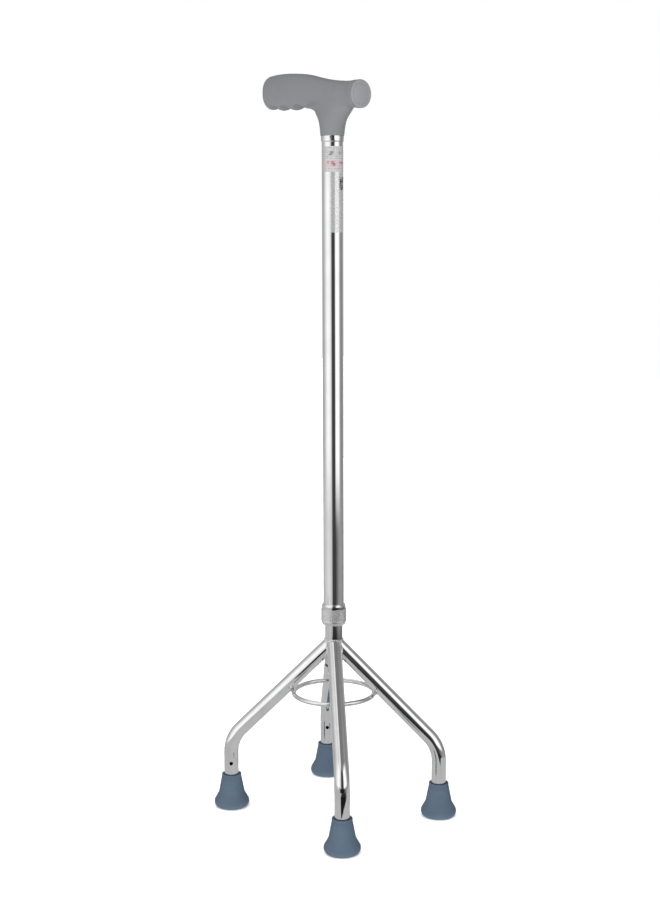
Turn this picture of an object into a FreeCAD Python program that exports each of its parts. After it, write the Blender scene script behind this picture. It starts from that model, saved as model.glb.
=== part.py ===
"""Quad walking cane: a height-adjustable tube with a T-handle on a four-legged base.

Millimetres.  +Z is up, +X is forward (the short nose end of the handle), +Y is to the
user's left.  The origin is on the ground, at the centre of the four feet.
"""
import FreeCAD, Part
import math
import os

import Sketcher

doc = FreeCAD.newDocument("quad_walking_cane")

# ---------------------------------------------------------------- driving dimensions
SIZES = {
    # four-legged base
    "footHalfLength": 89.0,       # foot centre to the cane's centre, along X
    "footHalfWidth": 72.8,        # foot centre to the cane's centre, along Y
    "legRadius": 8.0,
    "legWall": 1.2,
    "legBendRadius": 39.0,
    "legCornerHeight": 77.5,      # where the slanted and upright centrelines would meet
    "legSlant": 45.0,             # degrees from level
    "legTrim": 2.0,               # the slanted centreline runs on to here inside the tube
    "legBottom": 10.5,
    "ventRadius": 2.0,
    "ringRadius": 43.8,
    "ringWireRadius": 2.5,
    "ringHeight": 134.0,
    # rubber feet
    "footHeight": 36.7,
    "footRimRadius": 10.3,
    "footKinkRadius": 14.3,
    "footKinkHeight": 15.5,
    "footBulgeRadius": 19.25,
    "footBulgeHeight": 6.5,
    "footBulgeLow": 3.6,
    "footSoleRadius": 17.0,
    "footBoreFloor": 9.0,
    "footBulgeRounding": 4.5,
    "footKinkRounding": 12.0,
    "footRimRounding": 0.7,
    "treadDepth": 1.5,
    "treadInnerRadius": 5.0,
    "treadPitch": 5.5,
    "treadGroove": 2.5,
    "washerRadius": 7.8,
    # lower tube and what is in it
    "lowerTubeRadius": 9.525,
    "lowerTubeWall": 1.2,
    "lowerTubeBottom": 167.0,
    "lowerTubeTop": 445.0,
    "plugHead": 3.5,
    "plugSpigot": 8.0,
    "capHead": 4.0,
    "capSpigot": 10.0,
    "capClearance": 0.1,
    # snap button
    "buttonHeight": 415.0,
    "buttonRadius": 3.9,
    "buttonHoleGap": 0.25,
    "buttonStandProud": 2.0,
    "buttonDome": 1.5,
    "buttonFlangeRadius": 5.0,
    "buttonFlange": 0.9,
    "buttonBack": 5.6,
    "springThick": 0.6,
    "springWidth": 7.0,
    "springBend": 370.2,
    "springTop": 424.0,
    # upper tube
    "upperTubeRadius": 11.1,
    "upperTubeWall": 1.3,
    "upperTubeBottom": 228.0,
    "upperTubeTop": 765.0,
    "holePitch": 25.0,
    "holeCount": 7,
    # clamp at the joint between the two tubes
    "sleeveTop": 234.2,
    "sleeveNeckRadius": 12.0,
    "sleeveNeckHeight": 232.2,
    "sleeveConeBottom": 230.8,
    "sleeveBandBottom": 229.0,
    "sleeveRadius": 13.4,
    "sleeveLip": 0.4,
    "threadRadius": 12.3,
    "threadBottom": 219.0,
    "threadGap": 0.15,
    "seatTop": 224.5,
    "seatWideRadius": 11.4,
    "colletGap": 0.15,
    "colletBore": 9.575,
    "colletBottom": 214.6,
    "colletFlangeRadius": 12.0,
    "colletFlangeTop": 218.6,
    "colletTop": 223.0,
    "colletSlit": 1.5,
    "nutRadius": 13.6,
    "nutTop": 228.6,
    "nutBottom": 211.0,
    "nutShoulder": 214.4,
    "nutEdge": 0.4,
    "nutFootRadius": 12.4,
    "nutBore": 9.9,
    # handle
    "neckBottom": 729.7,
    "neckRadius": 12.15,
    "handleBoreTop": 766.0,
    "noseRadius": 14.3,
    "noseHeight": 770.0,
    "noseEnd": 39.5,
    "capFace": 43.2,
    "capDome": 0.8,
    "capRingRadius": 10.0,
    "capRingDepth": 0.5,
    "noseSpigotRadius": 8.9,
    "noseSpigotDepth": 8.0,
    "palmEndRounding": 8.5,
    "grooveRadius": 9.5,
    "grooveDepth": 5.0,
    "grooveLevel": 759.0,         # underside of the palm between the finger grooves
    "ferruleBottom": 723.6,
    "ferruleWall": 0.3,
    "ferruleFlare": 0.85,
    "topPlugBottom": 728.0,
    "topPlugGap": 0.05,
    "screwHeight": 742.0,
    "screwHeadRadius": 3.1,
    "screwHeadTop": 13.3,
    "screwSeat": 11.6,
    "screwRadius": 1.5,
    "screwPoint": 2.5,
    # stickers
    "labelThick": 0.12,
    "labelTop": 719.0,
    "labelBottom": 693.0,
    "labelArc": 200.0,
    "labelStart": -103.0,
    "filmBottom": 631.0,
    "filmArc": 125.0,
    "filmStart": -59.0,
}

size = doc.addObject("Spreadsheet::Sheet", "size")
for row, (alias, value) in enumerate(SIZES.items(), start=1):
    size.set(f"A{row}", alias)
    size.set(f"B{row}", str(value))
    size.setAlias(f"B{row}", alias)
doc.recompute()


def sized(expression):
    """An expression that names sheet cells bare, with the sheet's name put before each."""
    words = []
    word = ""
    for letter in expression + " ":
        if letter.isalnum() or letter == "_":
            word += letter
            continue
        words.append(f"size.{word}" if word in SIZES else word)
        words.append(letter)
        word = ""
    return "".join(words).strip()


def number(expression):
    """The present value of an expression of sheet cells."""
    return float(size.evalExpression(sized(expression)))


def bind(thing, prop, expression):
    thing.setExpression(prop, sized(expression))


# ---------------------------------------------------------------- building blocks
sub_parts = []


def keep(thing, label):
    """Register a finished object as the sub-part of that name."""
    thing.Label = label
    sub_parts.append(thing)
    return thing


def new_body(label):
    return doc.addObject("PartDesign::Body", label + "_body")


def new_sketch(body, name, role, offset=None):
    """A sketch on one of the body's own origin planes, moved off along its normal."""
    sketch = body.newObject("Sketcher::SketchObject", name)
    plane = next(f for f in body.Origin.OriginFeatures if f.Role == role)
    sketch.AttachmentSupport = (plane, "")
    sketch.MapMode = "FlatFace"
    if offset:
        bind(sketch, "AttachmentOffset.Base.z", offset)
    return sketch


def pin_point(sketch, geometry, point, across, up):
    """Hold a point of the geometry at two distances from the sketch's origin."""
    for kind, expression in (("DistanceX", across), ("DistanceY", up)):
        value = number(expression)
        constraint = Sketcher.Constraint(kind, -1, 1, geometry, point, value)
        index = sketch.addConstraint(constraint)
        bind(sketch, f"Constraints[{index}]", expression)


def draw_outline(sketch, corners):
    """A closed polygon; each corner is two expressions."""
    places = [FreeCAD.Vector(number(a), number(b), 0) for a, b in corners]
    count = len(corners)
    for i in range(count):
        sketch.addGeometry(Part.LineSegment(places[i], places[(i + 1) % count]))
    for i in range(count):
        sketch.addConstraint(Sketcher.Constraint("Coincident", i, 2, (i + 1) % count, 1))
    for i, (across, up) in enumerate(corners):
        pin_point(sketch, i, 1, across, up)


def draw_circle(sketch, across, up, radius):
    centre = FreeCAD.Vector(number(across), number(up), 0)
    circle = Part.Circle(centre, FreeCAD.Vector(0, 0, 1), number(radius))
    index = sketch.addGeometry(circle)
    pin_point(sketch, index, 3, across, up)
    constraint = sketch.addConstraint(Sketcher.Constraint("Radius", index, number(radius)))
    bind(sketch, f"Constraints[{constraint}]", radius)


def turned(label, corners, arc=None):
    """A body turned about its Z axis from an outline of (radius, height) corners."""
    body = new_body(label)
    sketch = new_sketch(body, label + "_outline", "XZ_Plane")
    draw_outline(sketch, corners)
    turn = body.newObject("PartDesign::Revolution", label + "_turned")
    turn.Profile = sketch
    turn.ReferenceAxis = (sketch, ["V_Axis"])
    turn.Angle = 360
    if arc:
        bind(turn, "Angle", arc)
    doc.recompute()
    return body


def tube(label, outer, wall, bottom, top):
    """A straight round tube on the Z axis, as a body with a pad."""
    body = new_body(label)
    sketch = new_sketch(body, label + "_section", "XY_Plane", bottom)
    draw_circle(sketch, "0", "0", outer)
    draw_circle(sketch, "0", "0", f"{outer} - {wall}")
    pad = body.newObject("PartDesign::Pad", label + "_length")
    pad.Profile = sketch
    bind(pad, "Length", f"{top} - {bottom}")
    doc.recompute()
    return body


def drill(body, label, role, across, up, radius, depth):
    """A round pocket from the axis out through one wall; the side is checked by volume."""
    before = body.Shape.Volume
    sketch = new_sketch(body, label + "_circle", role)
    draw_circle(sketch, across, up, radius)
    pocket = body.newObject("PartDesign::Pocket", label)
    pocket.Profile = sketch
    pocket.Type = "Length"
    bind(pocket, "Length", depth)
    doc.recompute()
    if body.Shape.Volume > before - 0.1:
        raise RuntimeError(label + " cut nothing")
    return pocket


def soften(body, label, radius, wanted):
    """Round the circular edges that the test picks."""
    base = body.Tip
    edges = []
    for i, edge in enumerate(base.Shape.Edges, start=1):
        if isinstance(edge.Curve, Part.Circle) and wanted(edge.Curve):
            edges.append(f"Edge{i}")
    fillet = body.newObject("PartDesign::Fillet", label)
    fillet.Base = (base, edges)
    bind(fillet, "Radius", radius)
    doc.recompute()
    return fillet


def near(a, b, slack=0.05):
    return abs(a - b) < slack


def cylinder(name, radius, height, place=(0, 0, 0), turn=None):
    thing = doc.addObject("Part::Cylinder", name)
    bind(thing, "Radius", radius)
    bind(thing, "Height", height)
    rotation = FreeCAD.Rotation(*turn) if turn else FreeCAD.Rotation()
    thing.Placement = FreeCAD.Placement(FreeCAD.Vector(0, 0, 0), rotation)
    for axis, expression in zip("xyz", place):
        bind(thing, f"Placement.Base.{axis}", str(expression))
    return thing


Y_AXIS = FreeCAD.Vector(0, 1, 0)
X_AXIS = FreeCAD.Vector(1, 0, 0)
Z_AXIS = FreeCAD.Vector(0, 0, 1)
Z_TO_FORWARD = FreeCAD.Rotation(Y_AXIS, 90)
Z_TO_REARWARD = FreeCAD.Rotation(Y_AXIS, -90)

# the four corners of the base: name, sign along X, sign along Y, way the vent hole faces
CORNERS = (
    ("front_left", 1, 1, 219.0),
    ("front_right", 1, -1, 141.0),
    ("rear_left", -1, 1, -42.0),
    ("rear_right", -1, -1, -41.0),
)
REACH = "sqrt(footHalfLength ^ 2 + footHalfWidth ^ 2)"
BEND_LENGTH = "legBendRadius * tan(legSlant / 2)"


# ---------------------------------------------------------------- base
def leg_body(corner):
    """One bent leg tube, drawn in the XZ plane with its foot at +X."""
    label = "leg_" + corner
    body = new_body(label)
    route = new_sketch(body, label + "_route", "XZ_Plane")
    upright_top = f"legCornerHeight - {BEND_LENGTH}"
    bend_top_x = f"{REACH} - {BEND_LENGTH} * cos(legSlant)"
    bend_top_z = f"legCornerHeight + {BEND_LENGTH} * sin(legSlant)"
    slant_top_z = f"legCornerHeight + ({REACH} - legTrim) * tan(legSlant)"
    centre = FreeCAD.Vector(number(f"{REACH} - legBendRadius"), number(upright_top), 0)
    foot = FreeCAD.Vector(number(REACH), number("legBottom"), 0)
    bend_start = FreeCAD.Vector(number(REACH), number(upright_top), 0)
    bend_end = FreeCAD.Vector(number(bend_top_x), number(bend_top_z), 0)
    top = FreeCAD.Vector(number("legTrim"), number(slant_top_z), 0)
    circle = Part.Circle(centre, Z_AXIS, number("legBendRadius"))
    bend = Part.ArcOfCircle(circle, 0, math.radians(number("legSlant")))
    route.addGeometry(Part.LineSegment(foot, bend_start))
    route.addGeometry(bend)
    route.addGeometry(Part.LineSegment(bend_end, top))
    pin_point(route, 0, 1, REACH, "legBottom")
    pin_point(route, 0, 2, REACH, upright_top)
    pin_point(route, 1, 3, f"{REACH} - legBendRadius", upright_top)
    route.addConstraint(Sketcher.Constraint("Coincident", 0, 2, 1, 1))
    end = Sketcher.Constraint("DistanceX", -1, 1, 1, 2, number(bend_top_x))
    bind(route, f"Constraints[{route.addConstraint(end)}]", bend_top_x)
    route.addConstraint(Sketcher.Constraint("Coincident", 1, 2, 2, 1))
    pin_point(route, 2, 2, "legTrim", slant_top_z)

    for kind, radius in (("Additive", "legRadius"), ("Subtractive", "legRadius - legWall")):
        section = new_sketch(body, f"{label}_{kind}_section", "XY_Plane", "legBottom")
        draw_circle(section, REACH, "0", radius)
        pipe = body.newObject(f"PartDesign::{kind}Pipe", f"{label}_{kind}_pipe")
        pipe.Profile = section
        pipe.Spine = (route, ["Edge1", "Edge2", "Edge3"])
        doc.recompute()
    return body


def build_leg(corner, sign_x, sign_y, vent_way, vent_height):
    """The bent tube, coped to the lower tube, mitred to its quadrant and vented."""
    label = "leg_" + corner
    body = leg_body(corner)
    azimuth = math.degrees(math.atan2(sign_y * number("footHalfWidth"),
                                      sign_x * number("footHalfLength")))
    body.Placement = FreeCAD.Placement(FreeCAD.Vector(0, 0, 0),
                                       FreeCAD.Rotation(Z_AXIS, azimuth))
    vent = cylinder(label + "_vent", "ventRadius", "legRadius * 2",
                    (f"{sign_x} * footHalfLength", f"{sign_y} * footHalfWidth", vent_height))
    toward = FreeCAD.Rotation(Z_AXIS, vent_way) * Z_TO_FORWARD
    vent.Placement = FreeCAD.Placement(vent.Placement.Base, toward)
    shaft = cylinder(label + "_cope", "lowerTubeRadius", "lowerTubeTop")
    removed = doc.addObject("Part::MultiFuse", label + "_removed")
    removed.Shapes = [vent, shaft]
    coped = doc.addObject("Part::Cut", label + "_coped")
    coped.Base = body
    coped.Tool = removed
    quadrant = doc.addObject("Part::Box", label + "_quadrant")
    for side in ("Length", "Width", "Height"):
        bind(quadrant, side, "lowerTubeTop")
    bind(quadrant, "Placement.Base.x", f"{(sign_x - 1) / 2} * lowerTubeTop")
    bind(quadrant, "Placement.Base.y", f"{(sign_y - 1) / 2} * lowerTubeTop")
    leg = doc.addObject("Part::Common", label + "_solid")
    leg.Base = coped
    leg.Tool = quadrant
    doc.recompute()
    return keep(leg, label)


def build_foot(corner, sign_x, sign_y):
    """Rubber ferrule with a belled skirt, a stepped tread and a bore for the leg."""
    second = "treadInnerRadius + treadPitch"
    body = turned("foot_" + corner, [
        ("0", "0"),
        ("treadInnerRadius", "0"),
        ("treadInnerRadius", "treadDepth"),
        ("treadInnerRadius + treadGroove", "treadDepth"),
        ("treadInnerRadius + treadGroove", "0"),
        (second, "0"),
        (second, "treadDepth"),
        (f"{second} + treadGroove", "treadDepth"),
        (f"{second} + treadGroove", "0"),
        ("footSoleRadius", "0"),
        ("footBulgeRadius", "footBulgeLow"),
        ("footBulgeRadius", "footBulgeHeight"),
        ("footKinkRadius", "footKinkHeight"),
        ("footRimRadius", "footHeight"),
        ("legRadius", "footHeight"),
        ("legRadius", "footBoreFloor"),
        ("0", "footBoreFloor"),
    ])
    soften(body, f"foot_{corner}_bulge", "footBulgeRounding",
           lambda c: near(c.Radius, number("footBulgeRadius")))
    soften(body, f"foot_{corner}_kink", "footKinkRounding",
           lambda c: near(c.Radius, number("footKinkRadius")))
    soften(body, f"foot_{corner}_rim", "footRimRounding",
           lambda c: near(c.Radius, number("footRimRadius")))
    place_at_corner(body, sign_x, sign_y)
    return keep(body, "foot_" + corner)


def build_foot_washer(corner, sign_x, sign_y):
    """Steel disc in the foot that the leg's end stands on."""
    body = turned("foot_washer_" + corner, [
        ("0", "footBoreFloor"),
        ("washerRadius", "footBoreFloor"),
        ("washerRadius", "legBottom"),
        ("0", "legBottom"),
    ])
    place_at_corner(body, sign_x, sign_y)
    return keep(body, "foot_washer_" + corner)


def place_at_corner(body, sign_x, sign_y):
    bind(body, "Placement.Base.x", f"{sign_x} * footHalfLength")
    bind(body, "Placement.Base.y", f"{sign_y} * footHalfWidth")


def build_brace_ring():
    ring = doc.addObject("Part::Torus", "brace_ring_solid")
    bind(ring, "Radius1", "ringRadius")
    bind(ring, "Radius2", "ringWireRadius")
    bind(ring, "Placement.Base.z", "ringHeight")
    return keep(ring, "brace_ring")


def build_base():
    vent_heights = {"front_left": "54", "front_right": "54", "rear_left": "57",
                    "rear_right": "50"}
    for corner, sign_x, sign_y, vent_way in CORNERS:
        build_leg(corner, sign_x, sign_y, vent_way, vent_heights[corner])
        build_foot(corner, sign_x, sign_y)
        build_foot_washer(corner, sign_x, sign_y)
    build_brace_ring()


# ---------------------------------------------------------------- lower tube
LOWER_BORE = "lowerTubeRadius - lowerTubeWall"


def build_lower_tube():
    body = tube("lower_tube", "lowerTubeRadius", "lowerTubeWall",
                "lowerTubeBottom", "lowerTubeTop")
    drill(body, "lower_tube_button_hole", "YZ_Plane", "0", "buttonHeight",
          "buttonRadius + buttonHoleGap", "lowerTubeRadius * 2")
    return keep(body, "lower_tube")


def build_tube_ends():
    """Plastic plug under the lower tube, and the guide cap on its top."""
    plug = turned("lower_tube_plug", [
        ("0", "lowerTubeBottom - plugHead"),
        ("lowerTubeRadius - 1", "lowerTubeBottom - plugHead"),
        ("lowerTubeRadius", "lowerTubeBottom - plugHead + 1"),
        ("lowerTubeRadius", "lowerTubeBottom"),
        (LOWER_BORE, "lowerTubeBottom"),
        (LOWER_BORE, "lowerTubeBottom + plugSpigot"),
        ("0", "lowerTubeBottom + plugSpigot"),
    ])
    keep(plug, "lower_tube_plug")
    head = "upperTubeRadius - upperTubeWall - capClearance"
    cap = turned("inner_tube_cap", [
        ("0", "lowerTubeTop - capSpigot"),
        (LOWER_BORE, "lowerTubeTop - capSpigot"),
        (LOWER_BORE, "lowerTubeTop"),
        (head, "lowerTubeTop"),
        (head, "lowerTubeTop + capHead - 1"),
        (f"{head} - 1", "lowerTubeTop + capHead"),
        ("0", "lowerTubeTop + capHead"),
    ])
    keep(cap, "inner_tube_cap")


def build_snap_button():
    """Domed pin on a flange, lying along -X through the wall of both tubes."""
    tip = "upperTubeRadius + buttonStandProud"
    body = turned("snap_button", [
        ("0", "buttonBack"),
        ("buttonFlangeRadius", "buttonBack"),
        ("buttonFlangeRadius", "buttonBack + buttonFlange"),
        ("buttonRadius", "buttonBack + buttonFlange"),
        ("buttonRadius", tip),
        ("0", tip),
    ])
    soften(body, "snap_button_dome", "buttonDome",
           lambda c: near(c.Radius, number("buttonRadius")) and near(c.Center.z, number(tip)))
    body.Placement = FreeCAD.Placement(FreeCAD.Vector(0, 0, 0), Z_TO_REARWARD)
    bind(body, "Placement.Base.z", "buttonHeight")
    return keep(body, "snap_button")


def build_snap_spring():
    """Leaf bent to a V: its flat end backs the button, the other leans on the far wall."""
    body = new_body("snap_spring")
    sketch = new_sketch(body, "snap_spring_outline", "XZ_Plane")
    back = "buttonBack - 0.05"
    thick = "springThick"
    draw_outline(sketch, [
        (f"-({back})", "springTop"),
        (f"-({back})", "springTop - 20"),
        ("-3.6", "springBend + 3.8"),
        ("-2.2", "springBend + 1"),
        ("0", "springBend"),
        ("2.6", "springBend + 1"),
        ("4.2", "springBend + 3.8"),
        ("7.2", "springTop"),
        (f"7.2 - {thick}", "springTop"),
        (f"4.2 - {thick}", "springBend + 4"),
        ("2.3", "springBend + 1.5"),
        ("0", f"springBend + {thick}"),
        ("-1.9", "springBend + 1.5"),
        (f"-3.6 + {thick}", "springBend + 4"),
        (f"-({back}) + {thick}", "springTop - 20"),
        (f"-({back}) + {thick}", "springTop"),
    ])
    pad = body.newObject("PartDesign::Pad", "snap_spring_width")
    pad.Profile = sketch
    pad.Midplane = True
    bind(pad, "Length", "springWidth")
    doc.recompute()
    return keep(body, "snap_spring")


# ---------------------------------------------------------------- upper tube and clamp
def build_upper_tube():
    """Outer tube with a row of adjusting holes down its rear side."""
    body = tube("upper_tube", "upperTubeRadius", "upperTubeWall",
                "upperTubeBottom", "upperTubeTop")
    drill(body, "upper_tube_screw_hole", "YZ_Plane", "0", "screwHeight",
          "screwRadius + 0.05", "upperTubeRadius * 2")
    span = "(holeCount - 1) * holePitch"
    first = drill(body, "upper_tube_hole", "YZ_Plane", "0", f"buttonHeight - {span}",
                  "buttonRadius + buttonHoleGap", "upperTubeRadius * 2")
    row = body.newObject("PartDesign::LinearPattern", "upper_tube_hole_row")
    row.Originals = [first]
    row.Direction = (first.Profile[0], ["V_Axis"])
    bind(row, "Length", span)
    bind(row, "Occurrences", "holeCount")
    body.Tip = row
    doc.recompute()
    return keep(body, "upper_tube")


def build_threaded_sleeve():
    """Collar fixed on the upper tube's end: shoulder, thread and the collet's seat."""
    bore = "upperTubeRadius - upperTubeWall"
    return keep(turned("threaded_sleeve", [
        ("upperTubeRadius", "sleeveTop"),
        ("upperTubeRadius + sleeveLip", "sleeveTop"),
        ("sleeveNeckRadius", "sleeveNeckHeight"),
        ("sleeveRadius", "sleeveConeBottom"),
        ("sleeveRadius", "sleeveBandBottom"),
        ("threadRadius", "sleeveBandBottom"),
        ("threadRadius", "threadBottom"),
        ("seatWideRadius", "threadBottom"),
        (bore, "seatTop"),
        (bore, "upperTubeBottom"),
        ("upperTubeRadius", "upperTubeBottom"),
    ]), "threaded_sleeve")


def build_collet():
    """Split nylon ring whose cone is squeezed on the lower tube by the nut."""
    slope = "(seatWideRadius - upperTubeRadius + upperTubeWall) / (seatTop - threadBottom)"
    low = f"seatWideRadius - colletGap - (colletFlangeTop - threadBottom) * {slope}"
    high = f"seatWideRadius - colletGap - (colletTop - threadBottom) * {slope}"
    body = turned("collet", [
        ("colletBore", "colletBottom"),
        ("colletFlangeRadius", "colletBottom"),
        ("colletFlangeRadius", "colletFlangeTop"),
        (low, "colletFlangeTop"),
        (high, "colletTop"),
        ("colletBore", "colletTop"),
    ])
    before = body.Shape.Volume
    sketch = new_sketch(body, "collet_slit_outline", "XY_Plane", "colletBottom - 1")
    inner = "colletBore - 1"
    outer = "colletFlangeRadius + 1"
    draw_outline(sketch, [
        (inner, "-colletSlit / 2"), (outer, "-colletSlit / 2"),
        (outer, "colletSlit / 2"), (inner, "colletSlit / 2"),
    ])
    slit = body.newObject("PartDesign::Pocket", "collet_slit")
    slit.Profile = sketch
    slit.Type = "Length"
    slit.Reversed = True
    bind(slit, "Length", "colletTop - colletBottom + 2")
    doc.recompute()
    if body.Shape.Volume > before - 1:
        raise RuntimeError("the collet's slit cut nothing")
    return keep(body, "collet")


def build_lock_nut():
    """Round nut on the sleeve's thread, with a lip that pushes the collet up."""
    return keep(turned("lock_nut", [
        ("nutBore", "nutBottom"),
        ("nutFootRadius", "nutBottom"),
        ("nutRadius - nutEdge", "nutShoulder"),
        ("nutRadius", "nutShoulder + nutEdge"),
        ("nutRadius", "nutTop - nutEdge"),
        ("nutRadius - nutEdge", "nutTop"),
        ("threadRadius + threadGap", "nutTop"),
        ("threadRadius + threadGap", "nutShoulder"),
        ("nutBore", "nutShoulder"),
    ]), "lock_nut")


# ---------------------------------------------------------------- handle
# palm bar, from its rear end to the nose: X, top, underside, half width
PALM_STATIONS = (
    ("RearEnd", -100.0, 794.6, 761.4, 12.8),
    ("Rear", -88.0, 796.3, 759.8, 14.0),
    ("PalmRear", -72.0, 797.0, 758.8, 14.6),
    ("PalmFront", -52.0, 796.0, 758.5, 14.6),
    ("Waist", -34.0, 793.9, 759.2, 14.2),
    ("OverNeckRear", -16.0, 789.8, 758.8, 13.6),
    ("OverNeck", 0.0, 785.9, 757.2, 13.1),
    ("Nose", 16.0, 783.7, 757.0, 12.8),
    ("NoseThin", 29.0, 782.8, 756.9, 12.65),
    ("NoseFlare", 35.5, 783.6, 756.4, 13.4),
    ("NoseEnd", 39.5, 784.4, 755.6, 14.2),
)
# neck, from its foot into the palm bar: height, centre X, half length along X, half width
NECK_STATIONS = (
    ("Foot", 729.7, 0.0, 12.15, 12.15),
    ("Low", 738.0, 0.1, 13.3, 12.7),
    ("Middle", 746.0, 0.5, 16.2, 13.1),
    ("High", 752.0, 1.4, 21.2, 13.3),
    ("Root", 757.0, 3.0, 26.5, 13.3),
    ("Inside", 763.0, 3.0, 26.5, 13.0),
    ("Top", 769.0, 2.0, 22.0, 12.4),
)


def add_cells(values):
    """More cells at the sheet's end, for the handle's cross-sections."""
    for alias, value in values.items():
        row = len(SIZES) + 1
        SIZES[alias] = value
        size.set(f"A{row}", alias)
        size.set(f"B{row}", str(value))
        size.setAlias(f"B{row}", alias)
    doc.recompute()


def ellipse(name, tall, wide, place, rotation):
    """One cross-section: an ellipse whose long half-axis starts along local X."""
    section = doc.addObject("Part::Ellipse", name)
    bind(section, "MajorRadius", tall)
    bind(section, "MinorRadius", wide)
    section.Placement = FreeCAD.Placement(FreeCAD.Vector(0, 0, 0), rotation)
    for axis, expression in zip("xyz", place):
        bind(section, f"Placement.Base.{axis}", expression)
    return section


def build_palm_bar():
    """Loft of upright ellipses along X, with its rear end rounded over."""
    sections = []
    for name, x, top, under, half_width in PALM_STATIONS:
        add_cells({f"palm{name}Place": x, f"palm{name}Top": top,
                   f"palm{name}Under": under, f"palm{name}HalfWidth": half_width})
        sections.append(ellipse(
            f"palm_{name}", f"(palm{name}Top - palm{name}Under) / 2", f"palm{name}HalfWidth",
            (f"palm{name}Place", "0", f"(palm{name}Top + palm{name}Under) / 2"),
            Z_TO_REARWARD))
    bar = doc.addObject("Part::Loft", "palm_bar")
    bar.Sections = sections
    bar.Solid = True
    bar.Ruled = False
    doc.recompute()
    rear = number("palmRearEndPlace")
    edges = [i for i, edge in enumerate(bar.Shape.Edges, start=1)
             if near(edge.BoundBox.XMax, rear, 0.5)]
    rounded = doc.addObject("Part::Fillet", "palm_bar_rounded")
    rounded.Base = bar
    rounding = number("palmEndRounding")
    rounded.Edges = [(i, rounding, rounding) for i in edges]
    doc.recompute()
    return rounded


def build_neck():
    """Loft of level ellipses up from the round foot of the neck into the palm bar."""
    sections = []
    for name, height, centre, half_length, half_width in NECK_STATIONS:
        add_cells({f"neck{name}Level": height, f"neck{name}Centre": centre,
                   f"neck{name}HalfLength": half_length, f"neck{name}HalfWidth": half_width})
        sections.append(ellipse(
            f"neck_{name}", f"neck{name}HalfLength", f"neck{name}HalfWidth",
            (f"neck{name}Centre", "0", f"neck{name}Level"), FreeCAD.Rotation()))
    neck = doc.addObject("Part::Loft", "neck")
    neck.Sections = sections
    neck.Solid = True
    neck.Ruled = False
    doc.recompute()
    return neck


FINGER_GROOVES = (-85.0, -66.0, -45.0)


def build_handle_grip():
    """Palm bar and neck in one moulding, with finger grooves and its bores cut away."""
    whole = doc.addObject("Part::MultiFuse", "handle_whole")
    whole.Shapes = [build_palm_bar(), build_neck()]
    cutters = []
    across = (X_AXIS, 90)
    for i, x in enumerate(FINGER_GROOVES):
        cutters.append(cylinder(f"finger_groove_{i}", "grooveRadius", "60",
                                (x, 30, "grooveLevel + grooveDepth - grooveRadius"), across))
    cutters.append(cylinder("tube_bore", "upperTubeRadius", "handleBoreTop - neckBottom + 10",
                            (0, 0, "neckBottom - 10")))
    cutters.append(cylinder("nose_bore", "noseSpigotRadius", "noseSpigotDepth + 10",
                            ("noseEnd - noseSpigotDepth", 0, "noseHeight"), (Y_AXIS, 90)))
    cutters.append(cylinder("screw_head_bore", "screwHeadRadius + 0.2", "20",
                            ("-screwSeat", 0, "screwHeight"), (Y_AXIS, -90)))
    cutters.append(cylinder("screw_bore", "screwRadius + 0.05", "20",
                            (0, 0, "screwHeight"), (Y_AXIS, -90)))
    removed = doc.addObject("Part::MultiFuse", "handle_removed")
    removed.Shapes = cutters
    grip = doc.addObject("Part::Cut", "handle_grip_solid")
    grip.Base = whole
    grip.Tool = removed
    doc.recompute()
    return keep(grip, "handle_grip")


def build_handle_nose_cap():
    """Round cap on the nose: domed face inside a shallow ring, on a spigot."""
    body = turned("handle_nose_cap", [
        ("0", "noseEnd - noseSpigotDepth"),
        ("noseSpigotRadius", "noseEnd - noseSpigotDepth"),
        ("noseSpigotRadius", "noseEnd"),
        ("noseRadius", "noseEnd"),
        ("noseRadius", "capFace - 1"),
        ("noseRadius - 1.4", "capFace"),
        ("capRingRadius + 0.6", "capFace"),
        ("capRingRadius", "capFace - capRingDepth"),
        ("capRingRadius - 0.6", "capFace"),
        ("capRingRadius * 0.5", "capFace + capDome * 0.75"),
        ("0", "capFace + capDome"),
    ])
    body.Placement = FreeCAD.Placement(FreeCAD.Vector(0, 0, 0), Z_TO_FORWARD)
    bind(body, "Placement.Base.z", "noseHeight")
    return keep(body, "handle_nose_cap")


def build_neck_fittings():
    """Chrome ring under the neck, plug in the tube's top and the screw through both."""
    keep(turned("neck_ferrule", [
        ("upperTubeRadius", "ferruleBottom"),
        ("upperTubeRadius + ferruleWall", "ferruleBottom"),
        ("upperTubeRadius + ferruleWall + ferruleFlare", "neckBottom"),
        ("upperTubeRadius", "neckBottom"),
    ]), "neck_ferrule")
    plug_radius = "upperTubeRadius - upperTubeWall - topPlugGap"
    plug = turned("tube_top_plug", [
        ("0", "topPlugBottom"),
        (plug_radius, "topPlugBottom"),
        (plug_radius, "upperTubeTop"),
        ("0", "upperTubeTop"),
    ])
    drill(plug, "tube_top_plug_screw_hole", "YZ_Plane", "0", "screwHeight",
          "screwRadius + 0.05", "upperTubeRadius * 2")
    keep(plug, "tube_top_plug")
    screw = turned("neck_screw", [
        ("0", "screwPoint"),
        ("screwRadius", "screwPoint + 2"),
        ("screwRadius", "screwSeat"),
        ("screwHeadRadius", "screwSeat"),
        ("screwHeadRadius", "screwHeadTop - 0.6"),
        ("screwHeadRadius - 0.8", "screwHeadTop"),
        ("0", "screwHeadTop"),
    ])
    screw.Placement = FreeCAD.Placement(FreeCAD.Vector(0, 0, 0), Z_TO_REARWARD)
    bind(screw, "Placement.Base.z", "screwHeight")
    keep(screw, "neck_screw")


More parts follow.
